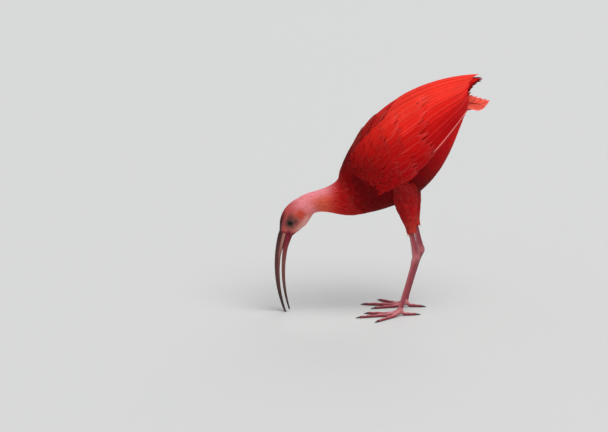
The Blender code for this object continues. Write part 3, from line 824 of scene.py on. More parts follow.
# %% [markdown]
# ## How feathers are made
#
# A contour feather is a shallow, rounded plate on a shaft, rooted under its neighbours and lying over
# those behind it, like a roof tile. One plate is a small closed sheet. An Array modifier makes as many
# copies as are wanted in one mesh, and numpy moves each copy's points to its place on a chart: along
# from root to tip, across by the half width, and out by a height that starts in the skin and rises.
# Every feather differs a little in length, width, lie and shade, with a seeded random draw.

# %% A vane and its copies
def vane_sheet(along, across):
    """A flat closed sheet; x runs from root to tip, y across, and z is 0 on top and -1 beneath."""
    bm = bmesh.new()
    bmesh.ops.create_grid(bm, x_segments=along, y_segments=across, size=1.0)
    copied = bmesh.ops.duplicate(bm, geom=bm.verts[:] + bm.edges[:] + bm.faces[:])
    beneath = [g for g in copied["geom"] if isinstance(g, bmesh.types.BMVert)]
    bmesh.ops.translate(bm, verts=beneath, vec=(0.0, 0.0, -1.0))
    bmesh.ops.bridge_loops(bm, edges=[e for e in bm.edges if e.is_boundary])
    bmesh.ops.recalc_face_normals(bm, faces=bm.faces)
    return bm


def sheet_places(bm):
    """A sheet's vertices: shares from 0 to 1 along and from -1 to 1 across, and which lie beneath."""
    flat = grid_places(bm)
    return (flat[:, 0] + 1.0) / 2, flat[:, 1], flat[:, 2] < -0.5


def copies(bm, count):
    """One mesh with count copies of the sheet, one after the other."""
    made = placed("sheet", mesh_of("sheet", bm))
    array = made.modifiers.new("copies", "ARRAY")
    array.count = count
    array.use_relative_offset = False
    apply_modifiers(made)
    many = made.data
    bpy.data.objects.remove(made)
    return many


# %% How a feather is cut
LOOK = {  # a feather's usual cut: cells, shares, heights in metres, and shares of painted light and shade
    "along": 5, "across": 4,
    "root": 0.45, "blunt": 0.45, "taper": 0.62,  # width at root and tip, where it starts to round off
    "camber": 0.0006, "roll": 0.0, "thick": 0.00014, "shaft": 0.0,  # how the plate is bent and raised
    "ragged": 0.05, "curve": 0.25, "rise": 0.5,  # how frayed, how curved the tip, how soon it rises
    "pale": 0.25, "dark": 0.80, "uneven": 0.05,  # painted highlight on the rim, painted shade at the root, how much feathers differ
    "tip": None, "tip_from": 0.85,  # the colour of the tip, and where it starts
}


def look(along, across, **cut):
    return SimpleNamespace(**{**LOOK, "along": along, "across": across, **cut})


def vane_width(s, cut):
    """The share of the half width at a share s of the length."""
    swelling = mix(cut.root, 1.0, ease(s / 0.5))
    round_off = np.clip((s - cut.taper) / (1.0 - cut.taper), 0.0, 1.0)
    return swelling * mix(cut.blunt, 1.0, np.sqrt(1.0 - round_off**2))


def vane_height(s, side, under, heights, cut):
    """The height of a vane's points: it rises from the root, arches over and has a raised shaft."""
    height = mix(heights[:, :1], heights[:, 1:], ease(s / cut.rise))
    height = height - cut.camber * side * side * ease(s / 0.3) + cut.roll * side * ease(s / 0.3)
    height = height + cut.shaft * np.exp(-((side / 0.14) ** 2)) * (1.0 - s)
    return height - under * cut.thick


def vane_colour_and_painted_light(s, side, base, cut, rng):
    """Each feather's own random tone, with painted shade at the root, a painted highlight on its rim and
    perhaps a tip of another colour.
    """
    count = len(base)
    # each feather's random tone, times painted shade towards the root
    tone_and_painted_shade = rng.normal(1.0, cut.uneven, (count, 1)) * mix(cut.dark, 1.0, ease(s / 0.55))
    colour = base[:, None, :] * tone_and_painted_shade[..., None]
    # painted highlight: a pale pink rim along the tip and the edges
    rim = np.maximum(rising(s, 0.8, 1.0) * 0.8, rising(np.abs(side), 0.7, 1.0))
    colour = blend(colour, RIM_HIGHLIGHT_PINK, rim * cut.pale * rng.uniform(0.1, 1.0, (count, 1)))
    return blend(colour, cut.tip, rising(s, cut.tip_from, cut.tip_from + 0.08)) if cut.tip else colour


# %% UV maps and faces of a feather mesh
BAKE_PATCH = 0.0015
WHOLE = (0.0, 1.0, 0.0, 360.0)


def add_uv(mesh, name, u, v):
    """A UV map from two numbers for each vertex."""
    corner = np.empty(len(mesh.loops), int)
    mesh.loops.foreach_get("vertex_index", corner)
    layer = mesh.uv_layers.new(name=name)
    layer.data.foreach_set("uv", np.stack([u.ravel(), v.ravel()], -1)[corner].ravel())


def map_vanes(mesh, s, side, roots, bake):
    """UV maps: the vane's own, and a small patch for each feather at its root's place on the chart."""
    add_uv(mesh, "vane", s, side / 2 + 0.5)
    across = (roots[:, 1:] % 360.0 - bake[2]) / (bake[3] - bake[2])
    down = (roots[:, :1] - bake[0]) / (bake[1] - bake[0])
    patch_u = mix(0.02, 0.98, across % 1.0) + side * BAKE_PATCH
    patch_v = mix(0.02, 0.98, np.clip(down, 0.0, 1.0)) + (s * 2.0 - 1.0) * BAKE_PATCH
    add_uv(mesh, "OFBake", patch_u, patch_v)


def map_sheet(mesh, along, across):
    """The same two UV maps for a single sheet."""
    for name in ("vane", "OFBake"):
        add_uv(mesh, name, along * 0.96 + 0.02, across * 0.48 + 0.5)


def face_out(mesh):
    """Turns a closed mesh right side out, by the sign of its volume."""
    mesh.calc_loop_triangles()
    triangles = np.empty(len(mesh.loop_triangles) * 3, int)
    mesh.loop_triangles.foreach_get("vertices", triangles)
    a, b, c = np.moveaxis(places_of(mesh)[triangles.reshape(-1, 3)], 1, 0)
    if (a * np.cross(b, c)).sum() < 0:
        mesh.flip_normals()


# %% Feathers on a chart
SHARP_EDGE = math.radians(50.0)


def feathers(name, form, places, cut, colour_and_painted_light, material, seed, bake=WHOLE):
    """One mesh of feathers. The places are the roots and tips, as pairs of t and angle, and for each
    feather its half width and the heights of its root and tip."""
    roots, tips, half, heights = places
    rng = np.random.default_rng(seed)
    count = len(roots)
    mesh = copies(vane_sheet(cut.along, cut.across), count)
    local = places_of(mesh).reshape(count, -1, 3)
    s, side, under = (local[..., 0] + 1.0) / 2, local[..., 1], -local[..., 2]
    row = np.rint(s * cut.along).astype(int)
    column = np.rint((side + 1.0) / 2 * cut.across).astype(int)
    fray = rng.uniform(-1.0, 0.6, (count, cut.along + 1, cut.across + 1))
    fray = fray[np.arange(count)[:, None], row, column] * cut.ragged
    rim = np.where((row == cut.along) | (np.abs(side) > 0.99), 1.0, 0.0)
    length = np.linalg.norm(form.at(*tips.T) - form.at(*roots.T), axis=-1)[:, None]
    half = half[:, None]
    reach = s + fray * rim * s - cut.curve * half / length * side * side * s
    t = mix(roots[:, :1], tips[:, :1], reach)
    angle = mix(roots[:, 1:], tips[:, 1:], reach)
    per_t, per_degree = form.scale(t, angle)
    run_t, run_a = (tips - roots).T[..., None] * np.stack([per_t, per_degree])
    size = np.hypot(run_t, run_a)
    run_t, run_a = run_t / size, run_a / size
    off = side * half * vane_width(s, cut)
    height = vane_height(s, side, under, heights, cut)
    place = form.at(t - run_a * off / per_t, angle + run_t * off / per_degree, height)
    mesh.vertices.foreach_set("co", place.ravel())
    paint(mesh, vane_colour_and_painted_light(s, side, colour_and_painted_light(*roots.T), cut, rng))
    map_vanes(mesh, s, side, roots, bake)
    face_out(mesh)
    mesh.shade_smooth()
    mesh.set_sharp_from_angle(angle=SHARP_EDGE)
    mesh.materials.append(material)
    return placed(name, mesh)


# %% [markdown]
# ## The body's coat
#
# Contour feathers are tiny on the head, longer on the neck, and broad on the back and belly. They grow
# in staggered rows, each row laid a little behind the last, and point towards the tail, drooping
# slightly on the flanks. A loop walks down the body chart and sets one row after the other.

# %% Coat sizes
COAT_LOOKS = {
    "head": look(3, 2, camber=0.0002, thick=0.00009, ragged=0.30, pale=0.14, dark=0.82, uneven=0.09),
    "neck": look(4, 2, camber=0.0002, thick=0.00010, ragged=0.30, pale=0.10, dark=0.88, uneven=0.06),
    "torso": look(4, 4, camber=0.0003, thick=0.00010, ragged=0.24, pale=0.03, dark=0.92, curve=0.35),
}
COAT_SIZES = (  # share of the body chart, feather length, half width
    (0.0, 0.0040, 0.0009),
    (HEAD_END * 0.8, 0.0060, 0.0011),
    (mix(HEAD_END, NECK_END, 0.5), 0.0110, 0.0015),
    (NECK_END, 0.0180, 0.0030),
    (mix(NECK_END, 1.0, 0.3), 0.0240, 0.0050),
    (mix(NECK_END, 1.0, 0.80), 0.0230, 0.0046),
    (1.0, 0.0120, 0.0034),
)
ROW_PITCH = 0.25
ROW_FILL = 1.12
ROW_OVERLAP = 1.15
ANGLE_VARIES, ROOT_VARIES, SWING = 40.0, 0.09, 2.2  # degrees by a row's count, share of a length, lean
FEATHER_VARIES = (0.88, 1.12)
DROOP = 3.0
LEAN = 0.0007 / 0.022
UNDER_SKIN = 0.0004
TIP_VARIES = 0.06
BELLY_START = mix(NECK_END, 1.0, 0.34)
COAT_END = 0.965
COATS = {  # start, end, seed, look, slot, height of the tips
    "coat_head": (0.0, HEAD_END, 11, "head", "neck_plumage", 0.0003),
    "coat_neck": (HEAD_END, NECK_END, 12, "neck", "neck_plumage", 0.0005),
    "coat_torso": (NECK_END, BELLY_START, 13, "torso", "scarlet_plumage", 0.0008),
    "coat_belly": (BELLY_START, COAT_END, 14, "torso", "scarlet_plumage", 0.0008),
}


# %% Rows down the body
def staggered(count, row):
    """Even angles round a form, with every second row half a step on."""
    return (np.arange(count) + 0.5 * (row % 2)) * 360.0 / count


def coat_size(t):
    shares, lengths, halves = zip(*COAT_SIZES)
    return float(np.interp(t, shares, lengths)), float(np.interp(t, shares, halves))


def coat_rows(start, end, seed):
    """Roots, tips and half widths of the feathers between two shares of the body chart."""
    rng = np.random.default_rng(seed)
    rows = []
    t, row = start, 0
    while t < end:
        length, half = coat_size(t)
        _, per_degree = BODY.scale(np.array([t]), np.array([90.0]))
        count = int(360.0 * ROW_FILL * per_degree[0] / (half * ROW_OVERLAP))
        angle = staggered(count, row) + rng.normal(0.0, ANGLE_VARIES / count, count)
        root_t = t + rng.normal(0.0, length * ROOT_VARIES, count) / BODY.length
        droop = np.where(angle % 360.0 < 180.0, 1.0, -1.0) * np.sin(np.radians(from_back(angle))) * DROOP
        swing = rng.normal(0.0, SWING, count)
        reach = length * rng.uniform(*FEATHER_VARIES, count)
        per_t, per_degree = BODY.scale(root_t, angle)
        lean = (droop + swing) * reach * LEAN
        rows.append((np.stack([root_t, angle], -1),
                     np.stack([root_t + reach / per_t, angle + lean / per_degree], -1),
                     half * rng.uniform(*FEATHER_VARIES, count)))
        t += length * ROW_PITCH / BODY.length
        row += 1
    return [np.concatenate(parts) for parts in zip(*rows)]


def bare(t, a):
    """The lores, the ring round the eye, the chin and the throat are bare, and so is what a wing hides."""
    edge = 0.16 + 0.16 * rising(a, 30.0, 60.0) + 0.22 * np.exp(-(((a - 84.0) / 24.0) ** 2))
    edge = edge + 0.12 * rising(a, 130.0, 170.0)
    torso = (t - NECK_END) / (1.0 - NECK_END)
    return (t / HEAD_END < edge) | (torso > 0.32) & (torso < 0.84) & (a > 32.0) & (a < 84.0)


def coat(name, start, end, seed, kind, slot, rise):
    roots, tips, half = coat_rows(start, end, seed)
    kept = ~bare(roots[:, 0], from_back(roots[:, 1]))
    roots, tips, half = roots[kept], tips[kept], half[kept]
    rng = np.random.default_rng(seed + 100)
    low = -coat_depth(roots[:, 0]) - UNDER_SKIN
    high = rise + rng.normal(0.0, TIP_VARIES * COAT["torso"] * ease(roots[:, 0] / NECK_END), len(roots))
    places = roots, tips, half, np.stack([low, high], -1)
    bake = (start, end, 0.0, 360.0)
    piece = feathers(name, BODY, places, COAT_LOOKS[kind], body_colour_and_painted_shade, BODY_PLUMAGE, seed + 200, bake)
    print(name, len(roots), "feathers")
    return dress(piece, slot)


for name, sizes in COATS.items():
    coat(name, *sizes)

# %% [markdown]
# ## Thigh feathers
#
# The thigh's feathers are short and soft. They point down the leg and end in a ragged cuff above the
# bare shin. The whole thigh is painted darker than the back, and darkest at the top, as painted shade
# where the thigh comes out of the belly. The thigh is a limb of its own, so its feathers are laid on
# the limb's chart, in the same rows.

# %% Thigh coat
THIGH_LOOK = look(4, 2, camber=0.0003, ragged=0.30, pale=0.10, dark=0.85)
THIGH_FEATHER = (0.0140, 0.0020)
THIGH_ROWS = (0.08, 0.95)
THIGH_PITCH = 0.22
THIGH_RISE = (-0.0022, 0.0010, 0.0003)  # height of the root and the tip, and how much the tip's varies
THIGH_FILL = 1.1
THIGH_VARIES = (3.0, 0.008, 4.0)  # degrees at the root, share of the thigh, degrees at the tip
THIGH_REACH = (0.85, 1.15)


def thigh_colour_and_painted_shade(t, angle):
    # painted shade over the whole thigh, darkest at the top
    colour = blend(plain(BELLY_PAINTED_SHADE, t), DEEP_PAINTED_SHADE, 0.25 + 0.45 * (1.0 - ease(t / 0.60)))
    return blend(colour, SALMON, rising(t, 0.6, 1.0) * 0.20)


def thigh_coat(side, seed):
    rng = np.random.default_rng(seed)
    limb = THIGHS[side]
    length, half = THIGH_FEATHER
    roots, tips = [], []
    rows = int(THIGH_ROWS[1] * limb.length / (length * THIGH_PITCH))
    root_angle, root_share, tip_angle = THIGH_VARIES
    for row in range(rows):
        t = mix(*THIGH_ROWS, row / (rows - 1))
        around = math.tau * float(limb.along(limb.radii, t))
        count = int(around / (half * THIGH_FILL))
        angle = staggered(count, row) + rng.normal(0.0, root_angle, count)
        root_t = t + rng.normal(0.0, root_share, count)
        roots.append(np.stack([root_t, angle], -1))
        reach = length * rng.uniform(*THIGH_REACH, count) / limb.length
        tips.append(np.stack([root_t + reach, angle + rng.normal(0.0, tip_angle, count)], -1))
    roots, tips = np.concatenate(roots), np.concatenate(tips)
    low, high, varies = THIGH_RISE
    heights = np.stack([np.full(len(roots), low), rng.normal(high, varies, len(roots))], -1)
    places = roots, tips, np.full(len(roots), half), heights
    name = "coat_thigh_" + side
    print(name, len(roots), "feathers")
    piece = feathers(name, limb, places, THIGH_LOOK, thigh_colour_and_painted_shade, BODY_PLUMAGE, seed + 1)
    return dress(piece, "scarlet_plumage")


for side, seed in (("left", 21), ("right", 22)):
    thigh_coat(side, seed)

# %% [markdown]
# ## Folded wings
#
# A folded wing shows its feathers in tiers: small lesser coverts at the shoulder, then the median and
# greater coverts, then the long secondaries, with the dark-tipped primaries just showing at the end, and
# the scapulars of the back lying over the top. Each tier is rooted further back and lies a little deeper
# than the one before it, and in each tier the lower feather is tucked under the upper one. Short front
# rows close the shoulder, one narrow pale feather edges the wing below, and a core sheet underneath
# closes what would show between the roots.

# %% Tiers of coverts and secondaries
TIERS = {  # level of the first tip, how much deeper the last lies, count, share of the wing's length at
    # the roots, first and last root's angle, first and last tip's (t, angle), half width
    "lesser_1": (0.0, 0.0014, 24, 0.020, (24.0, 116.0), ((0.120, 20.0), (0.080, 118.0)), 0.0040),
    "lesser_2": (0.0003, 0.0014, 24, 0.040, (28.0, 116.0), ((0.155, 24.0), (0.100, 119.0)), 0.0041),
    "lesser_3": (0.0006, 0.0016, 23, 0.062, (31.0, 116.0), ((0.190, 27.0), (0.125, 120.0)), 0.0043),
    "lesser_4": (0.0011, 0.0018, 22, 0.084, (34.0, 116.0), ((0.230, 30.0), (0.150, 121.0)), 0.0046),
    "lesser_5": (0.0018, 0.0019, 21, 0.112, (38.0, 116.0), ((0.285, 34.0), (0.185, 122.0)), 0.0050),
    "median": (0.0028, 0.0020, 20, 0.145, (40.0, 116.0), ((0.370, 36.0), (0.235, 123.0)), 0.0056),
    "greater_1": (0.0038, 0.0022, 20, 0.170, (36.0, 110.0), ((0.490, 40.0), (0.330, 124.0)), 0.0062),
    "greater_2": (0.0047, 0.0025, 20, 0.210, (34.0, 108.0), ((0.680, 42.0), (0.480, 122.0)), 0.0068),
    "secondary": (0.0061, 0.0046, 18, 0.255, (6.0, 116.0), ((0.970, 4.0), (0.830, 124.0)), 0.0096),
    "lesser_front_1": (0.0008, 0.0010, 14, -0.045, (42.0, 88.0), ((0.052, 41.0), (0.032, 89.0)), 0.0037),
    "lesser_front_2": (0.0003, 0.0011, 17, -0.010, (36.0, 97.0), ((0.090, 34.0), (0.058, 98.0)), 0.0039),
}

# %% Tiers of scapulars and primaries
SCAPULARS = {  # the same, but with the first and last root's own t
    "scapular_1": (0.0006, 0.0010, 9, (0.060, 0.020), (3.0, 34.0), ((0.27, 3.0), (0.19, 42.0)), 0.0064),
    "scapular_2": (0.0003, 0.0018, 9, (0.110, 0.050), (3.0, 34.0), ((0.39, 3.0), (0.25, 44.0)), 0.0070),
    "scapular_3": (0.0, 0.0026, 9, (0.165, 0.080), (3.0, 36.0), ((0.52, 3.0), (0.32, 46.0)), 0.0076),
    "scapular_4": (0.0, 0.0032, 9, (0.215, 0.110), (3.0, 36.0), ((0.65, 3.0), (0.39, 48.0)), 0.0082),
    "front_1": (0.0008, 0.0006, 10, (-0.055, -0.055), (3.0, 42.0), ((0.050, 2.0), (0.042, 44.0)), 0.0040),
    "front_2": (0.0003, 0.0006, 10, (-0.015, -0.025), (3.0, 42.0), ((0.105, 2.0), (0.085, 44.0)), 0.0046),
}
PRIMARIES = (
    (0.0114, 0.0030, 6, (0.42, 0.48), (110.0, 80.0), ((0.835, 108.0), (0.985, 30.0)), 0.0070),
    (0.0160, 0.0030, 5, (0.50, 0.52), (100.0, 50.0), ((0.870, 100.0), (0.985, 26.0)), 0.0074),
    (0.0205, 0.0030, 4, (0.56, 0.56), (96.0, 50.0), ((0.890, 94.0), (0.975, 26.0)), 0.0076),
)
EDGE_FEATHER = (0.0099, 0.0, 1, (0.30, 0.30), (119.0, 119.0), ((0.835, 129.5), (0.835, 129.5)), 0.0011)

# %% Cuts of the wing's feathers
PRIMARY_TIP = (0.030, 0.006, 0.008)
COVERT = {"camber": 0.0003, "roll": 0.0002}
LONG = {"root": 0.42, "roll": 0.0001, "ragged": 0.006, "curve": 0.45, "rise": 0.33}
WING_LOOKS = {
    "lesser": look(5, 4, ragged=0.20, pale=0.07, dark=0.92, thick=0.00014, **COVERT),
    "median": look(6, 6, ragged=0.12, pale=0.14, dark=0.90, thick=0.00016, **COVERT),
    "greater": look(9, 6, ragged=0.10, pale=0.20, dark=0.88, thick=0.00016, blunt=0.30, taper=0.55,
                    **COVERT),
    "secondary": look(14, 6, blunt=0.42, taper=0.86, camber=0.0001, thick=0.0002, shaft=0.0001,
                      pale=0.10, dark=0.90, uneven=0.03, **LONG),
    "primary": look(12, 6, blunt=0.40, taper=0.84, camber=0.0002, thick=0.0003, shaft=0.0002,
                    pale=0.0, tip=PRIMARY_TIP, tip_from=0.94, **LONG),
}

# %% Depths of the tiers
ROW_SLANT = 0.16
SCAPULAR_SINK = (0.20, 0.0135)  # the share of the wing past which the scapulars sink, and how fast
FRONT_TUCK = 0.0030
FRONT_DIP = 0.0090
THIN_WIDTH = 0.0300
UNDER_CORE = 0.0006
TIER_VARIES = (0.008, 1.0, 0.00015)  # share of the wing, degrees, height
WIDTH_VARIES = (0.92, 1.10)


def slanted(share, angle):
    """The t of a place on a tier that runs further back towards the top of the wing."""
    return share - ROW_SLANT * (angle / 90.0 - 0.8)


def core_depth(t, angle):
    """How far the wing's core lies under its outline: the roots step down its slope."""
    share = slanted(t, 144.0 - angle)
    depth = np.where(share < 0.26, 0.0018 + 0.026 * (share - 0.07), 0.0067 + 0.0176 * (share - 0.26))
    depth = np.maximum(depth, 0.0) + FRONT_DIP * (1.0 - rising(t, 0.03, 0.12))
    depth = depth + 0.008 * np.maximum((angle - 104.0) / 20.0, 0.0) ** 2
    return np.maximum(depth + 0.003 * np.maximum((22.0 - angle) / 14.0, 0.0), 0.0)


def tier_places(level, deeper, count, root_ts, root_angles, tips, half, sink=(1.0, 0.0)):
    """Roots, tips, half widths and heights of one tier, as arrays."""
    s = np.linspace(0.0, 1.0, count)
    roots = np.stack([mix(*root_ts, s), mix(*root_angles, s)], -1)
    (first_t, first_angle), (last_t, last_angle) = tips
    t, angle = mix(first_t, last_t, s), mix(first_angle, last_angle, s)
    drop = deeper * np.sin(np.pi / 2 * s)
    thin = np.minimum(WINGS["left"].along(WINGS["left"].wide, t) / THIN_WIDTH, 1.0)
    sunk = np.maximum(t - sink[0], 0.0) * sink[1]
    sunk = sunk + FRONT_TUCK * rising(angle, 104.0, 118.0) * (1.0 - rising(t, 0.12, 0.28))
    high = -(level + drop + sunk) * thin
    low = -core_depth(*roots.T) - UNDER_CORE
    return roots, np.stack([t, angle], -1), np.full(count, half), np.stack([low, high], -1)


def loosened(places, seed, lie):
    """The same tier with small seeded differences in reach, lie, width and height."""
    roots, tips, half, heights = places
    rng = np.random.default_rng(seed)
    count = len(roots)
    reach, degrees, height = TIER_VARIES
    tips = tips + np.stack([rng.normal(0.0, by * lie, count) for by in (reach, degrees)], -1)
    half = half * rng.uniform(*WIDTH_VARIES, count)
    heights = heights + np.stack([np.zeros(count), rng.normal(0.0, height, count)], -1)
    return roots, tips, half, heights


# %% The wing's colours, with painted light and shade
EDGE_PINK = (0.90, 0.20, 0.19)


def wing_colour_and_painted_light(t, angle):
    """Painted light on the top and towards the rear; painted shade in deep red at the shoulder and along
    the lower edge.
    """
    # painted light on the top of the wing
    painted_light_share = 1.0 - rising(angle, 30.0, 90.0)
    colour = blend(plain(SCARLET, t), PAINTED_LIGHT_SCARLET, painted_light_share * rising(t, 0.1, 0.3))
    # painted shade: deep red at the shoulder and along the lower edge
    colour = blend(colour, DEEP_PAINTED_SHADE, (1.0 - ease(t / 0.30)) * 0.84)
    return blend(colour, BELLY_PAINTED_SHADE, rising(angle, 60.0, 106.0) * 0.85)


def edge_dye(t, angle):
    return plain(EDGE_PINK, t)


# %% The core and the finishing steps
WING_CORE = (0.035, 0.60)
WING_EDGES = (8.0, 122.0)
CORE_THICK = 0.0025
# painted light: the core is a little brighter than the wing, so that the slits between tiers show red, not
# shadow black
CORE_PAINTED_LIGHT = 1.05
MIDDLE_OVERLAP = 0.0003


def wing_core(side):
    """The closed sheet under the tiers."""
    bm = vane_sheet(26, 26)
    along, across, beneath = sheet_places(bm)
    t, angle = mix(*WING_CORE, along), mix(*WING_EDGES, (across + 1.0) / 2)
    set_places(bm, WINGS[side].at(t, angle, -(core_depth(t, angle) + np.where(beneath, CORE_THICK, 0.0))))
    core = finished("core", bm, WING_PLUMAGE)
    # painted light in the slits between the tiers
    paint(core.data, wing_colour_and_painted_light(t, angle) * CORE_PAINTED_LIGHT)
    map_sheet(core.data, along, across)
    return core


def merged(name, pieces):
    """Joins objects into the first one and names it."""
    with bpy.context.temp_override(active_object=pieces[0], selected_editable_objects=pieces):
        bpy.ops.object.join()
    pieces[0].name = pieces[0].data.name = name
    return pieces[0]


def keep_to_side(wing, side):
    """Keeps a wing's points on its own side; the two just meet in the middle."""
    places = places_of(wing.data)
    sign = -1.0 if side == "left" else 1.0
    places[:, 1] = sign * np.maximum(places[:, 1] * sign, -MIDDLE_OVERLAP / 2)
    wing.data.vertices.foreach_set("co", places.ravel())


# %% Both wings
WING_BAKE = (-0.1, 1.0, 0.0, 130.0)
COVERT_LIE, LONG_LIE, SCAPULAR_LIE = 1.6, 0.3, 0.8


def wing_tiers(seed):
    """Every tier of a wing in turn: its name, kind of feather, places and seed."""
    for step, tier in enumerate(PRIMARIES):
        yield "primary", "primary", tier_places(*tier), seed + 10 + step
    for step, (name, tier) in enumerate(TIERS.items()):
        level, deeper, count, share, angles, tips, half = tier
        kind = name.split("_")[0]
        roots = [slanted(share, angle) for angle in angles]
        places = tier_places(level, deeper, count, roots, angles, tips, half)
        lie = LONG_LIE if kind == "secondary" else COVERT_LIE
        yield name, kind, loosened(places, seed + step, lie), seed + 20 + step
    for step, (name, tier) in enumerate(SCAPULARS.items()):
        places = loosened(tier_places(*tier, sink=SCAPULAR_SINK), seed + 40 + step, SCAPULAR_LIE)
        yield name, "lesser" if "front" in name else "greater", places, seed + 50 + step
    yield "edge", "secondary", tier_places(*EDGE_FEATHER), seed + 60


def make_wing(side, seed):
    pieces = [wing_core(side)]
    for name, kind, places, tier_seed in wing_tiers(seed):
        colour_and_painted_light = edge_dye if name == "edge" else wing_colour_and_painted_light
        pieces.append(feathers(name, WINGS[side], places, WING_LOOKS[kind], colour_and_painted_light, WING_PLUMAGE, tier_seed,
                               WING_BAKE))
    wing = merged("wing_" + side + "_feathers", pieces)
    keep_to_side(wing, side)
    print(wing.name, len(wing.data.polygons), "faces")
    return dress(wing, "scarlet_plumage", "wing_" + side)


for side, seed in (("left", 100), ("right", 300)):
    make_wing(side, seed)

# %% [markdown]
# ## Tail
#
# An ibis has a short, square tail of twelve feathers. The middle pair lies on top and each next pair one
# step lower, on a roof that falls to both sides. Soft coverts hide the roots above and below, over a
# plump pad. The roof is a tiny form of its own, so that the same feather code can lay vanes on it.

# %% Tail sizes
TAIL_ROOT = (0.1120, 0.3330)
TAIL_TIP = (0.1572, 0.3335)
TAIL_SHORTER = 0.0100
TAIL_SPREAD = 0.0200
TAIL_STEP = 0.00045
TAIL_TOP = 0.0030
TAIL_ROOF = 0.0045
TAIL_PAIRS = 6
TAIL_HALF, COVERT_HALF = 0.0078, 0.0036
TAIL_MIDDLE = 2.4  # how far the tips of the middle pair lie to the side, in millimetres
COVERT_SPREAD = (8.0, 13.0)  # the same for the outermost coverts' roots and tips
COVERT_REACH, COVERT_SHORTER, COVERT_ROUND = 0.62, 0.12, 0.35
COVERT_RISE = 0.7
COVERTS_ACROSS, COVERT_ROWS, COVERT_STEP = 11, 4, 0.16
COVERT_LAYERS = (  # where each layer's first row starts, and the first and last row's heights
    (-0.20, (0.0112, 0.0044)),
    (-0.55, (0.0140, 0.0088)),
    (-0.85, (0.0150, 0.0128)),
    (-0.25, (-0.0105, -0.0070)),
    (-0.60, (-0.0110, -0.0095)),
)
TAIL_LOOK = look(9, 6, root=0.7, blunt=0.45, taper=0.82, camber=0.0002, ragged=0.015, curve=0.4,
                 rise=0.9, thick=0.0003, shaft=0.0002, pale=0.40, dark=0.90)
COVERT_LOOK = look(6, 4, root=0.6, camber=0.0003, ragged=0.06, rise=0.9, pale=0.20, dark=0.92,
                   thick=0.0001)
TAIL_BAKE = (-0.3, 1.05, 0.0, 360.0)


class Roof(Form):
    """t runs from the tail's root to its tip, the angle is millimetres to the side, out is up."""

    def at(self, t, angle, out=0.0):
        t, angle, out = np.broadcast_arrays(np.asarray(t, float), angle, out)
        y = angle * 0.001
        x = mix(TAIL_ROOT[0], TAIL_TIP[0], t) + BIRD_SHIFT
        z = mix(TAIL_ROOT[1], TAIL_TIP[1], t) - TAIL_ROOF * (y / TAIL_SPREAD) ** 2 + out
        return np.stack([x, y, z], -1)


def tail_dye(t, angle):
    return blend(plain(SALMON, t), SCARLET, 0.35 * (1.0 - ease(t)))


# %% Vanes and coverts of the tail
def tail_vanes():
    pair = np.repeat(np.arange(TAIL_PAIRS), 2)
    order = np.tile((0, 1), TAIL_PAIRS)
    share = pair / (TAIL_PAIRS - 1)
    tip_y = np.where(order == 0, -1.0, 1.0) * mix(TAIL_MIDDLE, TAIL_SPREAD * 1000.0, share)
    level = TAIL_STEP * (2 * pair + order)
    shorter = TAIL_SHORTER * share**1.5 / (TAIL_TIP[0] - TAIL_ROOT[0])
    roots = np.stack([np.zeros(len(pair)), tip_y * 0.5], -1)
    tips = np.stack([1.0 - shorter, tip_y], -1)
    heights = np.stack([TAIL_TOP - level * 0.6, TAIL_TOP - level], -1)
    return roots, tips, np.full(len(pair), TAIL_HALF), heights


def tail_coverts(first, heights):
    """Rows of coverts from the first share on, with the first and last row's heights."""
    places = []
    s = np.linspace(-1.0, 1.0, COVERTS_ACROSS)
    for row in range(COVERT_ROWS):
        start = first + COVERT_STEP * row
        roots = np.stack([np.full(COVERTS_ACROSS, start), COVERT_SPREAD[0] * s], -1)
        tips = np.stack([start + COVERT_REACH - COVERT_SHORTER * s * s, COVERT_SPREAD[1] * s], -1)
        rounded = mix(*heights, row / (COVERT_ROWS - 1)) * (1.0 - COVERT_ROUND * s * s)
        half = np.full(COVERTS_ACROSS, COVERT_HALF)
        places.append((roots, tips, half, np.stack([rounded * COVERT_RISE, rounded], -1)))
    return [np.concatenate(parts) for parts in zip(*places)]


# %% The pad and the whole tail
PAD_SPAN = (-0.95, 0.80)
PAD_TOP, PAD_UNDER = (0.0132, 0.0030), (0.0100, 0.0010)
PAD_WIDTH = (11.0, 14.0)
PAD_EDGE = 0.0002
# painted shade: the pad under the coverts is painted a tenth darker
PAD_PAINTED_SHADE = 0.9


def tail_pad(roof):
    """The plump root of the tail, under the coverts."""
    bm = vane_sheet(18, 14)
    along, across, beneath = sheet_places(bm)
    plump = np.sqrt(np.maximum(1.0 - across**2, 0.0))
    t = mix(*PAD_SPAN, along)
    falling = rising(t, 0.1, 0.85)
    top = mix(*PAD_TOP, falling) * plump + PAD_EDGE
    under = -mix(*PAD_UNDER, falling) * plump - PAD_EDGE
    set_places(bm, roof.at(t, across * mix(*PAD_WIDTH, along), np.where(beneath, under, top)))
    pad = finished("pad", bm, BODY_PLUMAGE)
    # painted shade under the coverts
    paint(pad.data, tail_dye(t, across) * PAD_PAINTED_SHADE)
    map_sheet(pad.data, along, across)
    return pad


def make_tail():
    roof = Roof()
    pieces = [feathers("fan", roof, tail_vanes(), TAIL_LOOK, tail_dye, WING_PLUMAGE, 61, TAIL_BAKE)]
    for step, layer in enumerate(COVERT_LAYERS):
        pieces.append(feathers("coverts", roof, tail_coverts(*layer), COVERT_LOOK, tail_dye, BODY_PLUMAGE,
                               62 + step, TAIL_BAKE))
    tail = merged("tail_feathers", [*pieces, tail_pad(roof)])
    print(tail.name, len(tail.data.polygons), "faces")
    return dress(tail, "scarlet_plumage", "tail")


make_tail()

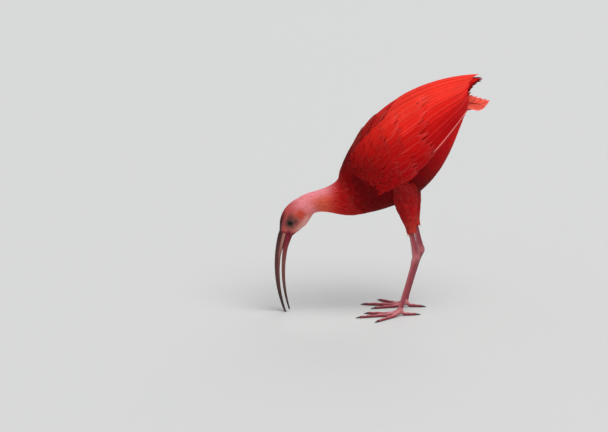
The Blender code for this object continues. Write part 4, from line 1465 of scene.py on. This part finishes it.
# %% [markdown]
# ## Bill
#
# The long bill bends down towards the feet. The upper half carries a groove on each side, from the
# nostril nearly to the tip, and a rounded ridge; the lower half is slimmer and opens a little below it.
# Each half is a half-round loft along the same arc as the solid's, with the groove and the nostril
# pressed in by a function of the place. Bare red skin fills the fork of the lower half, and a lining
# painted near black, as painted shade inside the gape, closes the back of the mouth.

# %% Bill sizes and colours
BILL_LENGTH = 0.1280
BILL_PITCH = (72.0, 108.0)
BILL_DEPTH = (0.0200, 0.0044)
BILL_WIDTH = (0.0140, 0.0042)
BILL_FLARE = 0.0006
BILL_SUNK = 0.950
BILL_GAP = 0.0003
GAPE_ANGLE = 2.2
ROUND_SHARE = 0.72  # the share of a half's grid that lies on its round side
GROOVE_PLACE, GROOVE_HALF = 0.62, 0.11
NOSTRIL_PLACE, NOSTRIL_HALF = (0.60, 0.085), (0.07, 0.034)
BILL_BASE = (0.46, 0.185, 0.145)
BILL_MIDDLE = (0.20, 0.060, 0.048)
BILL_TIP = (0.045, 0.022, 0.020)
GULAR_RED = (0.22, 0.008, 0.022)
BILL_ROOT = np.array((HEAD_LINE[0][0] + BIRD_SHIFT, 0.0, HEAD_LINE[0][1]))
BILL_HALVES = {  # shares of the bill's depth and width, where it ends on the arc, depths of the groove
    # and the nostril, upper or lower side, colour at the root, how strong the maroon ridge is
    "bill_upper": SimpleNamespace(depth=0.58, width=0.50, end=1.0, groove=0.10, slit=0.16, side=1.0,
                                  base=BILL_BASE, ridge=1.0),
    "bill_lower": SimpleNamespace(depth=0.42, width=0.43, end=0.975, groove=0.05, slit=0.0, side=-1.0,
                                  base=GULAR_RED, ridge=0.0),
}


# %% The bill's arc
def bill_frame(u):
    """The middle point and the direction of the bill's upper side, at shares u of the arc."""
    start, end = (math.radians(a) for a in BILL_PITCH)
    radius = BILL_LENGTH / (end - start)
    a = mix(start, end, u)
    x = BILL_ROOT[0] - radius * (np.sin(a) - math.sin(start))
    z = BILL_ROOT[2] + radius * (np.cos(a) - math.cos(start))
    top = np.stack([-np.sin(a), np.zeros_like(a), np.cos(a)], -1)
    return np.stack([x, np.zeros_like(a), z], -1), top


def sideways(across):
    return np.stack([np.zeros_like(across), across, np.zeros_like(across)], -1)


def opened(bm):
    """Turns what belongs to the lower half down by the gape."""
    turn = Matrix.Rotation(math.radians(-GAPE_ANGLE), 3, "Y")
    bmesh.ops.rotate(bm, verts=bm.verts, cent=Vector(BILL_ROOT), matrix=turn)


# %% The two halves
def bill_size(u, half):
    """Depth and half width of one half; its root is slimmer at first, so that it fits the face."""
    taper = np.clip(1.0 - u, 0.0, 1.0) ** 0.85
    sunk = mix(BILL_SUNK, 1.0, ease(u / 0.05))
    deep = mix(*BILL_DEPTH[::-1], taper) * half.depth * sunk
    wide = mix(*BILL_WIDTH[::-1], taper) * half.width * sunk
    return deep, wide + BILL_FLARE * (1.0 - ease(u / 0.12))


def bill_relief(u, share, half):
    """A factor on the section, for the groove, the nostril and faint growth rings near the root."""
    groove = np.exp(-(((share - GROOVE_PLACE) / GROOVE_HALF) ** 2))
    groove = groove * rising(u, 0.03, 0.08) * rising(-u, -0.93, -0.73)
    slit = np.exp(-(((share - NOSTRIL_PLACE[0]) / NOSTRIL_HALF[0]) ** 2))
    slit = slit * np.exp(-(((u - NOSTRIL_PLACE[1]) / NOSTRIL_HALF[1]) ** 4))
    rings = 1.0 + 0.006 * np.sin(u * 260.0) * (1.0 - ease(u / 0.35))
    return (1.0 - (half.groove * groove + half.slit * slit)) * rings


def bill_places(flat, half):
    """The middle of the grid is the round side, and its edges fold in to the flat one."""
    u = mix(0.002, half.end, (flat[:, 1] + 1.0) / 2)
    point, top = bill_frame(u)
    deep, wide = bill_size(u, half)
    share = np.abs(flat[:, 0]) / ROUND_SHARE
    a = np.pi / 2 * np.minimum(share, 1.0)
    relief = bill_relief(u, share, half)
    height = np.where(share <= 1.0, deep * np.cos(a) ** 0.9, 0.0) * relief + BILL_GAP
    inner = wide * (1.0 - np.abs(flat[:, 0])) / (1.0 - ROUND_SHARE)
    across = np.sign(flat[:, 0]) * np.where(share <= 1.0, wide * np.sin(a) * relief, inner)
    return point + top * (half.side * height)[:, None] + sideways(across)


def bill_dye(half):
    """Pale at the root and darker to the tip, with a maroon ridge on the upper half."""
    def colour_and_painted_light(places):
        u = np.clip(np.linalg.norm(places - BILL_ROOT, axis=1) / BILL_LENGTH, 0.0, 1.0)
        colour = blend(plain(half.base, u), BILL_MIDDLE, rising(u, 0.06, 0.41))
        point, top = bill_frame(u)
        height = ((places - point) * top).sum(1) / (BILL_DEPTH[0] * half.depth * (1.0 - 0.78 * u))
        ridge = half.ridge * rising(height, 0.36, 0.56) * (1.0 - 0.5 * ease(u / 0.6))
        return blend(blend(colour, MAROON, ridge), BILL_TIP, rising(u, 0.35, 0.9))
    return colour_and_painted_light


def mandible(name, half):
    bm = bmesh.new()
    bmesh.ops.create_grid(bm, x_segments=50, y_segments=110, size=1.0)
    set_places(bm, bill_places(grid_places(bm), half))
    close_loft(bm)
    if half.side < 0:
        opened(bm)
    above_floor(bm)
    return dress(finished(name + "_horn", bm, HORN, bill_dye(half)), "bill_horn", name)


for name, half in BILL_HALVES.items():
    print(mandible(name, half).name, "along", BILL_LENGTH, "m of arc")

# %% Gular skin and mouth lining
GULAR_SPAN = (-0.06, 0.30)
GULAR_DEEP, GULAR_RADIUS = (0.0068, 0.0036), (0.0050, 0.0018)
GULAR_SQUASH = 0.84
GULAR_FOLD = 0.00018
MOUTH_SPAN = (-0.03, 0.30)
MOUTH_WIDTH = (0.80, 0.30)
MOUTH_TOP, MOUTH_FRONT = 0.0008, 0.0002
# painted shade: near black, as the shade inside the open bill
MOUTH_PAINTED_SHADE = (0.030, 0.004, 0.006)


def gular_folds(t, angle):
    return GULAR_FOLD * np.sin(np.radians(angle) * 13.0) * ease(t / 0.2) * (1.0 - rising(t, 0.6, 1.0))


def make_gular_skin():
    """The bare red skin in the fork of the lower half, from the chin forwards."""
    share = np.linspace(0.0, 1.0, 12)
    point, top = bill_frame(mix(*GULAR_SPAN, share))
    points = point - top * mix(*GULAR_DEEP, share)[:, None]
    bm = loft(Limb(points, mix(*GULAR_RADIUS, share), GULAR_SQUASH), 32, 60, out=gular_folds)
    opened(bm)
    return dress(finished("gular_skin", bm, SKIN, one_colour(GULAR_RED)), "bare_skin")


def make_mouth():
    """The lining that closes the back of the open bill, painted near black as the shade inside the gape."""
    bm = vane_sheet(14, 6)
    along, across, beneath = sheet_places(bm)
    u = mix(*MOUTH_SPAN, along)
    point, top = bill_frame(u)
    lower = -np.maximum(u, 0.0) * BILL_LENGTH * math.tan(math.radians(GAPE_ANGLE)) - MOUTH_TOP
    lower = mix(lower, MOUTH_FRONT, rising(along, 0.45, 1.0))
    height = np.where(beneath, lower, MOUTH_TOP)
    half = BILL_WIDTH[0] / 2 * mix(*MOUTH_WIDTH, along)
    set_places(bm, point + top * height[:, None] + sideways(across * half))
    made = finished("mouth_lining", bm, HORN, one_colour(MOUTH_PAINTED_SHADE), smooth=False)
    return dress(made, "bill_horn")


print("made", make_gular_skin().name, "and", make_mouth().name)

# %% [markdown]
# ## Eyes and lids
#
# The eye is a small dark ball under a clear wet layer, with a black pupil in a dark brown iris. A ring of
# bare, wrinkled, dark brown skin goes round it. The iris is drawn on the ball's own UV map, which holds
# the distance from the eye's axis, so that both eyes can share one material. The ring is a spun, uneven
# tube.

# %% Eye material
PUPIL = 0.0019 / EYE_RADIUS
WET_EYE = {
    "Roughness": 0.10, "Specular IOR Level": 0.10,
    "Coat Weight": 0.22, "Coat Roughness": 0.02, "Coat IOR": 1.34,
}
EYE_RINGS = (  # share of the eye's radius, colour from there on
    (PUPIL, (0.002, 0.002, 0.002, 1.0)),
    (PUPIL + 0.04, (0.030, 0.010, 0.005, 1.0)),
    (0.80, (0.004, 0.003, 0.002, 1.0)),
)


def make_eye_material():
    material, tree, shader = new_material("eye_gloss", WET_EYE)
    ramp = add_node(tree, "ValToRGB", {"Fac": uv_parts(tree, "iris")["X"]})
    stops = ramp.color_ramp.elements
    stops.new(0.5)
    for stop, (place, colour) in zip(stops, EYE_RINGS):
        stop.position, stop.color = place, colour
    settle(tree, shader, {"Base Color": ramp.outputs["Color"]})
    return material


EYE = make_eye_material()
print("eye material:", EYE.name)

# %% Eyeballs and lids
LID_RADIUS = 0.0006
LID_SECTION = (1.35, 1.0, 0.8)
LID_RING, LID_RAISED = 0.0042, 0.0023
LID_LONGER = 1.06
LID_FOLD = 0.030
LID_COLOUR = (0.120, 0.045, 0.034)


def eye_axis(side):
    """The eye's centre and the direction it looks in."""
    t, angle = (np.array([place]) for place in EYE_PLACE)
    out = BODY.outward(t, angle)[0]
    centre = BODY.at(t, angle)[0] - out * EYE_SUNK
    flip = np.array((1.0, 1.0 if side == "left" else -1.0, 1.0))
    return Vector(centre * flip), Vector(out * flip)


def turn_out(bm, out, centre):
    """Turns a form's Z axis to the direction out and moves it to its centre."""
    bmesh.ops.rotate(bm, verts=bm.verts, matrix=out.to_track_quat("Z", "Y").to_matrix())
    bmesh.ops.translate(bm, verts=bm.verts, vec=centre)


def make_eye(side):
    centre, out = eye_axis(side)
    bm = bmesh.new()
    bmesh.ops.create_uvsphere(bm, u_segments=32, v_segments=20, radius=EYE_RADIUS)
    turn_out(bm, out, centre)
    iris = bm.loops.layers.uv.new("iris")
    for face in bm.faces:
        for corner in face.loops:
            away = corner.vert.co - centre
            off_axis = (away - out * away.dot(out)).length / EYE_RADIUS
            corner[iris].uv = (off_axis if away.dot(out) > 0.0 else 1.0, 0.5)
    return dress(finished("eyeball_" + side, bm, EYE), "eye_gloss", "eye_" + side)


def make_lid(side):
    """The bare ring: a spun tube, a little longer than high, with small folds."""
    centre, out = eye_axis(side)
    bm = bmesh.new()
    bmesh.ops.create_circle(bm, segments=12, radius=LID_RADIUS)
    bmesh.ops.rotate(bm, verts=bm.verts, matrix=Matrix.Rotation(math.pi / 2, 3, "X"))
    bmesh.ops.scale(bm, verts=bm.verts, vec=LID_SECTION)
    bmesh.ops.translate(bm, verts=bm.verts, vec=(LID_RING, 0.0, 0.0))
    bmesh.ops.spin(bm, geom=bm.verts[:] + bm.edges[:], cent=(0, 0, 0), axis=(0, 0, 1),
                   angle=math.tau, steps=56, use_merge=True)
    for v in bm.verts:
        around = math.atan2(v.co.y, v.co.x)
        v.co *= 1.0 + LID_FOLD * math.sin(around * 9.0) * math.sin(around * 4.0 + 1.0)
        v.co.x *= LID_LONGER
    turn_out(bm, out, centre + out * LID_RAISED)
    return dress(finished("lid_" + side, bm, SKIN, one_colour(LID_COLOUR)), "bare_skin")


for side in LEGS:
    print(make_eye(side).name, make_lid(side).name)

# %% [markdown]
# ## Legs
#
# A wader's shin and tarsus are bare. Broad shields, or scutes, run down the front, and small scales cover
# the sides and the swollen hock. The leg is one limb loft; the scutes are shallow steps in its outline on
# the front, and the small scales are in the material. The front and the hock carry a painted highlight,
# and the back a painted shade.

# %% Leg sizes and colours
SHIN_RADIUS, HOCK_RADIUS, TARSUS_RADIUS = 0.0040, 0.0062, 0.0035
LEG_SQUASH = 0.88
SHIN_STEPS = (  # share of the way from the thigh to the hock, radius
    (0.0, SHIN_RADIUS), (0.35, SHIN_RADIUS), (0.70, SHIN_RADIUS * 1.1), (0.88, HOCK_RADIUS * 0.85),
)
TARSUS_STEPS = (  # share of the way from the hock to the foot, radius
    (0.08, HOCK_RADIUS * 0.88), (0.20, TARSUS_RADIUS * 1.15), (0.50, TARSUS_RADIUS), (0.85, TARSUS_RADIUS),
)
ANKLE_UP, ANKLE_RADIUS = 0.0030, TARSUS_RADIUS * 1.25
LEG_PINK = (0.36, 0.044, 0.060)
# painted highlight: the pale pink on the fronts of the legs, the hocks and the toe tops; the dark red is
# painted shade on the backs of the legs
LEG_HIGHLIGHT = (0.70, 0.24, 0.25)
LEG_DARK = (0.18, 0.016, 0.028)
HOCK_HIGHLIGHT = (0.0935, 0.008)
SCUTE, TOE_SCUTE = (0.0042, 0.00036), (0.0026, 0.00034)  # length and rise
SMALL_SCALE = 0.00007


# %% Legs
def steps_along(metres, pitch):
    """A saw-like wave that rises along each scute and drops at its end, from 0 to 1."""
    share = (metres / pitch) % 1.0
    return ease(share / 0.75) * (1.0 - rising(share, 0.82, 1.0))


def scutes(limb, size, middle):
    """Relief for a loft: scutes within 75 degrees of the middle line, and knobbly scales elsewhere."""
    pitch, rise = size

    def relief(t, angle):
        away = np.abs((angle - middle + 180.0) % 360.0 - 180.0)
        front = 1.0 - rising(away, 50.0, 75.0)
        small = np.sin(t * limb.length * 3600.0) * np.sin(np.radians(angle) * 9.0) * SMALL_SCALE
        return rise * steps_along(t * limb.length, pitch) * front + small * (1.0 - front)
    return relief


def leg_limb(side):
    knee, hock, base = LEGS[side]
    top = knee.lerp(hock, THIGH_SHARE - 0.06)
    steps = [(top.lerp(hock, s), radius) for s, radius in SHIN_STEPS]
    steps.append((hock + (hock - knee).normalized() * 0.001, HOCK_RADIUS))
    steps += [(hock.lerp(base, s), radius) for s, radius in TARSUS_STEPS]
    steps.append((base + (hock - base).normalized() * ANKLE_UP, ANKLE_RADIUS))
    points, radii = zip(*steps)
    return Limb(points, radii, LEG_SQUASH)


def leg_colour_and_painted_light(limb):
    def colour_and_painted_light(places):
        height = places[:, 2]
        middle = np.interp(height, limb.points[::-1, 2], limb.points[::-1, 0])
        front = (middle - places[:, 0]) / TARSUS_RADIUS
        # painted shade on the back of the leg, painted highlight on its front
        colour = blend(plain(LEG_PINK, height), LEG_DARK, 0.75 * rising(-front, 0.1, 0.9))
        colour = blend(colour, LEG_HIGHLIGHT, 0.45 * rising(front, 0.1, 0.8))
        # painted highlight on the hock
        hock = np.exp(-(((height - HOCK_HIGHLIGHT[0]) / HOCK_HIGHLIGHT[1]) ** 2))
        return blend(colour, LEG_HIGHLIGHT, 0.40 * hock)
    return colour_and_painted_light


def make_leg(side):
    limb = leg_limb(side)
    bm = loft(limb, 36, 200, out=scutes(limb, SCUTE, 180.0))
    return dress(finished("leg_skin_" + side, bm, SCALY, leg_colour_and_painted_light(limb)), "bare_skin", "leg_" + side)


for side in LEGS:
    print(make_leg(side).name)

# %% [markdown]
# ## Feet
#
# Three toes point forward and one back, with a small web between the front three. Each toe swells under
# its joints, carries scutes on top and ends in a claw. The toes, the heel and the webs are lofts of their
# own, and a voxel Remesh melts them into one skin, so that the webs grow out of the toes with no seam.

# %% Foot sizes and colours
FOOT_TURN = {"left": 14.0, "right": 10.0}
TOES = (  # name, length, angle outwards from the middle toe, radius at the root, joints
    ("inner", 0.0480, -27.0, 0.0031, 2),
    ("middle", 0.0620, 0.0, 0.0034, 3),
    ("outer", 0.0530, 36.0, 0.0031, 3),
    ("hind", 0.0240, 176.0, 0.0029, 1),
)
TOE_START = 0.0015
TOE_TIP_RADIUS = 0.0020
TOE_SWELL = (1.08, 0.93)  # at a joint and between two
SOLE_FLAT = 0.00035
HEEL_STEPS = ((0.0055, 1.15), (0.0015, 1.35), (-0.002, 1.40))  # height up the tarsus, share of its radius
HEEL_SOLE = (0.003, 0.8)
WEB_SHARE, WEB_HOLLOW = 0.50, 0.38
WEB_START = 0.002
WEB_HEIGHT, WEB_RISE, WEB_THICKNESS = 0.0026, 0.0035, 0.0012
FOOT_VOXEL = 0.00055
# painted shade for the webs and the undersides of the toes
LOW_PAINTED_SHADE = (0.17, 0.012, 0.022)


# %% Forms of the foot
def foot_point(side, toe_angle, reach, height):
    base = LEGS[side][2]
    outward = -1.0 if side == "left" else 1.0
    a = np.radians(toe_angle + FOOT_TURN[side])
    return base.x - np.cos(a) * reach, base.y + outward * np.sin(a) * reach, height


def toe_limb(side, toe):
    _, length, angle, root, joints = toe
    points, radii = [], []
    steps = 2 * joints + 2
    for i in range(steps + 1):
        s = i / steps
        radius = mix(root, TOE_TIP_RADIUS, s) * TOE_SWELL[i % 2]
        low = radius - SOLE_FLAT
        rise = (LEGS[side][2].z - low) * max(1.0 - s * 3.0, 0.0) ** 1.5
        points.append(foot_point(side, angle, TOE_START + length * s, low + rise))
        radii.append(radius)
    return Limb(points, radii)


def heel_limb(side):
    _, hock, base = LEGS[side]
    up = (hock - base).normalized()
    points = [base + up * height for height, _ in HEEL_STEPS] + [Vector((base.x, base.y, HEEL_SOLE[0]))]
    return Limb(points, [TARSUS_RADIUS * share for _, share in (*HEEL_STEPS, HEEL_SOLE)])


def web_sheet(side, first, second):
    bm = vane_sheet(10, 14)
    s, across, beneath = sheet_places(bm)
    between = (across + 1.0) / 2
    angle = mix(first[2], second[2], between)
    reach = WEB_SHARE * mix(first[1], second[1], between) * (1.0 - WEB_HOLLOW * np.sin(np.pi * between))
    height = WEB_HEIGHT + WEB_RISE * np.maximum(1.0 - s * 2.0, 0.0) - np.where(beneath, WEB_THICKNESS, 0.0)
    set_places(bm, np.stack(foot_point(side, angle, WEB_START + reach * s, height), -1))
    return bm


# %% One skin for each foot
def foot_colour_and_painted_light(side):
    middle = LEGS[side][2]

    def colour_and_painted_light(places):
        reach = np.hypot(places[:, 0] - middle.x, places[:, 1] - middle.y)
        colour = blend(plain(LEG_PINK, reach), LEG_DARK, rising(reach, 0.045, 0.065) * 0.4)
        # painted highlight along the toe tops
        colour = blend(colour, LEG_HIGHLIGHT, rising(places[:, 2], 0.0036, 0.0058) * 0.65)
        # painted shade on the webs and the toes' undersides
        return blend(colour, LOW_PAINTED_SHADE, (1.0 - rising(places[:, 2], 0.0024, 0.0038)) * 0.85)
    return colour_and_painted_light


def melted(foot):
    """One closed skin over a foot's parts, smoothed a little and kept above the floor."""
    melt = foot.modifiers.new("melt", "REMESH")
    melt.mode = "VOXEL"
    melt.voxel_size = FOOT_VOXEL
    apply_modifiers(foot)
    bm = bmesh.new()
    bm.from_mesh(foot.data)
    bmesh.ops.smooth_vert(bm, verts=bm.verts, factor=0.5, use_axis_x=True, use_axis_y=True, use_axis_z=True)
    above_floor(bm)
    bm.to_mesh(foot.data)
    bm.free()
    foot.data.name = foot.name
    foot.data.shade_smooth()


def make_foot(side):
    limbs = [toe_limb(side, toe) for toe in TOES]
    parts = [finished("toe", loft(limb, 20, 90, out=scutes(limb, TOE_SCUTE, 0.0)), SCALY)
             for limb in limbs]
    parts.append(finished("heel", loft(heel_limb(side), 24, 16), SCALY))
    parts += [finished("web", web_sheet(side, *pair), SCALY) for pair in (TOES[:2], TOES[1:3])]
    foot = merged("foot_skin_" + side, parts)
    melted(foot)
    paint(foot.data, foot_colour_and_painted_light(side)(places_of(foot.data)))
    return dress(foot, "bare_skin", "foot_" + side)


# %% Claws
CLAW_LENGTH = 0.0080
CLAW_HOOK = 0.0012
CLAW_RADIUS, CLAW_POINT = 0.0016, 0.0002
CLAW_SQUASH = 0.75
CLAW_BLACK = (0.055, 0.022, 0.022)


def claw_piece(side, toe):
    name, length, angle = toe[:3]
    limb = toe_limb(side, toe)
    tip, before = (limb.at(t, 0.0, -TOE_TIP_RADIUS) for t in (1.0, 0.97))
    ahead = unit(tip - before)
    ahead[2] = 0.0
    centre = np.array(foot_point(side, angle, TOE_START + length, limb.radii[-1] - SOLE_FLAT))
    shares = np.linspace(-0.10, 1.0, 10)
    down = np.array((0.0, 0.0, -CLAW_HOOK))
    points = [centre + ahead * CLAW_LENGTH * s + down * max(s, 0.0) ** 2 for s in shares]
    radii = [CLAW_RADIUS * (1.0 - max(s, 0.0)) ** 0.7 + CLAW_POINT for s in shares]
    bm = loft(Limb(points, radii, CLAW_SQUASH), 16, 24)
    above_floor(bm)
    claw = finished("horn_" + side + "_" + name, bm, CLAW, one_colour(CLAW_BLACK))
    return dress(claw, "claw_horn", "claw_" + side + "_" + name)


for side in LEGS:
    foot = make_foot(side)
    claws = [claw_piece(side, toe) for toe in TOES]
    print(foot.name, len(foot.data.polygons), "faces,", len(claws), "claws")

# %% [markdown]
# ## Last measures
#
# The triangles of the coat and of the whole bird are counted. The dressed bird must stay the size of its
# solids, give or take a feather's thickness.

# %% Triangles
def triangles(made):
    made.data.calc_loop_triangles()
    return len(made.data.loop_triangles)


dressed = [o for o in bpy.context.scene.objects if o.type == "MESH"]
coat_counts = {o.name: triangles(o) for o in dressed if "OFBake" in o.data.uv_layers}
print("coat triangles:", coat_counts, "together", sum(coat_counts.values()))
print("all triangles:", sum(triangles(o) for o in dressed))
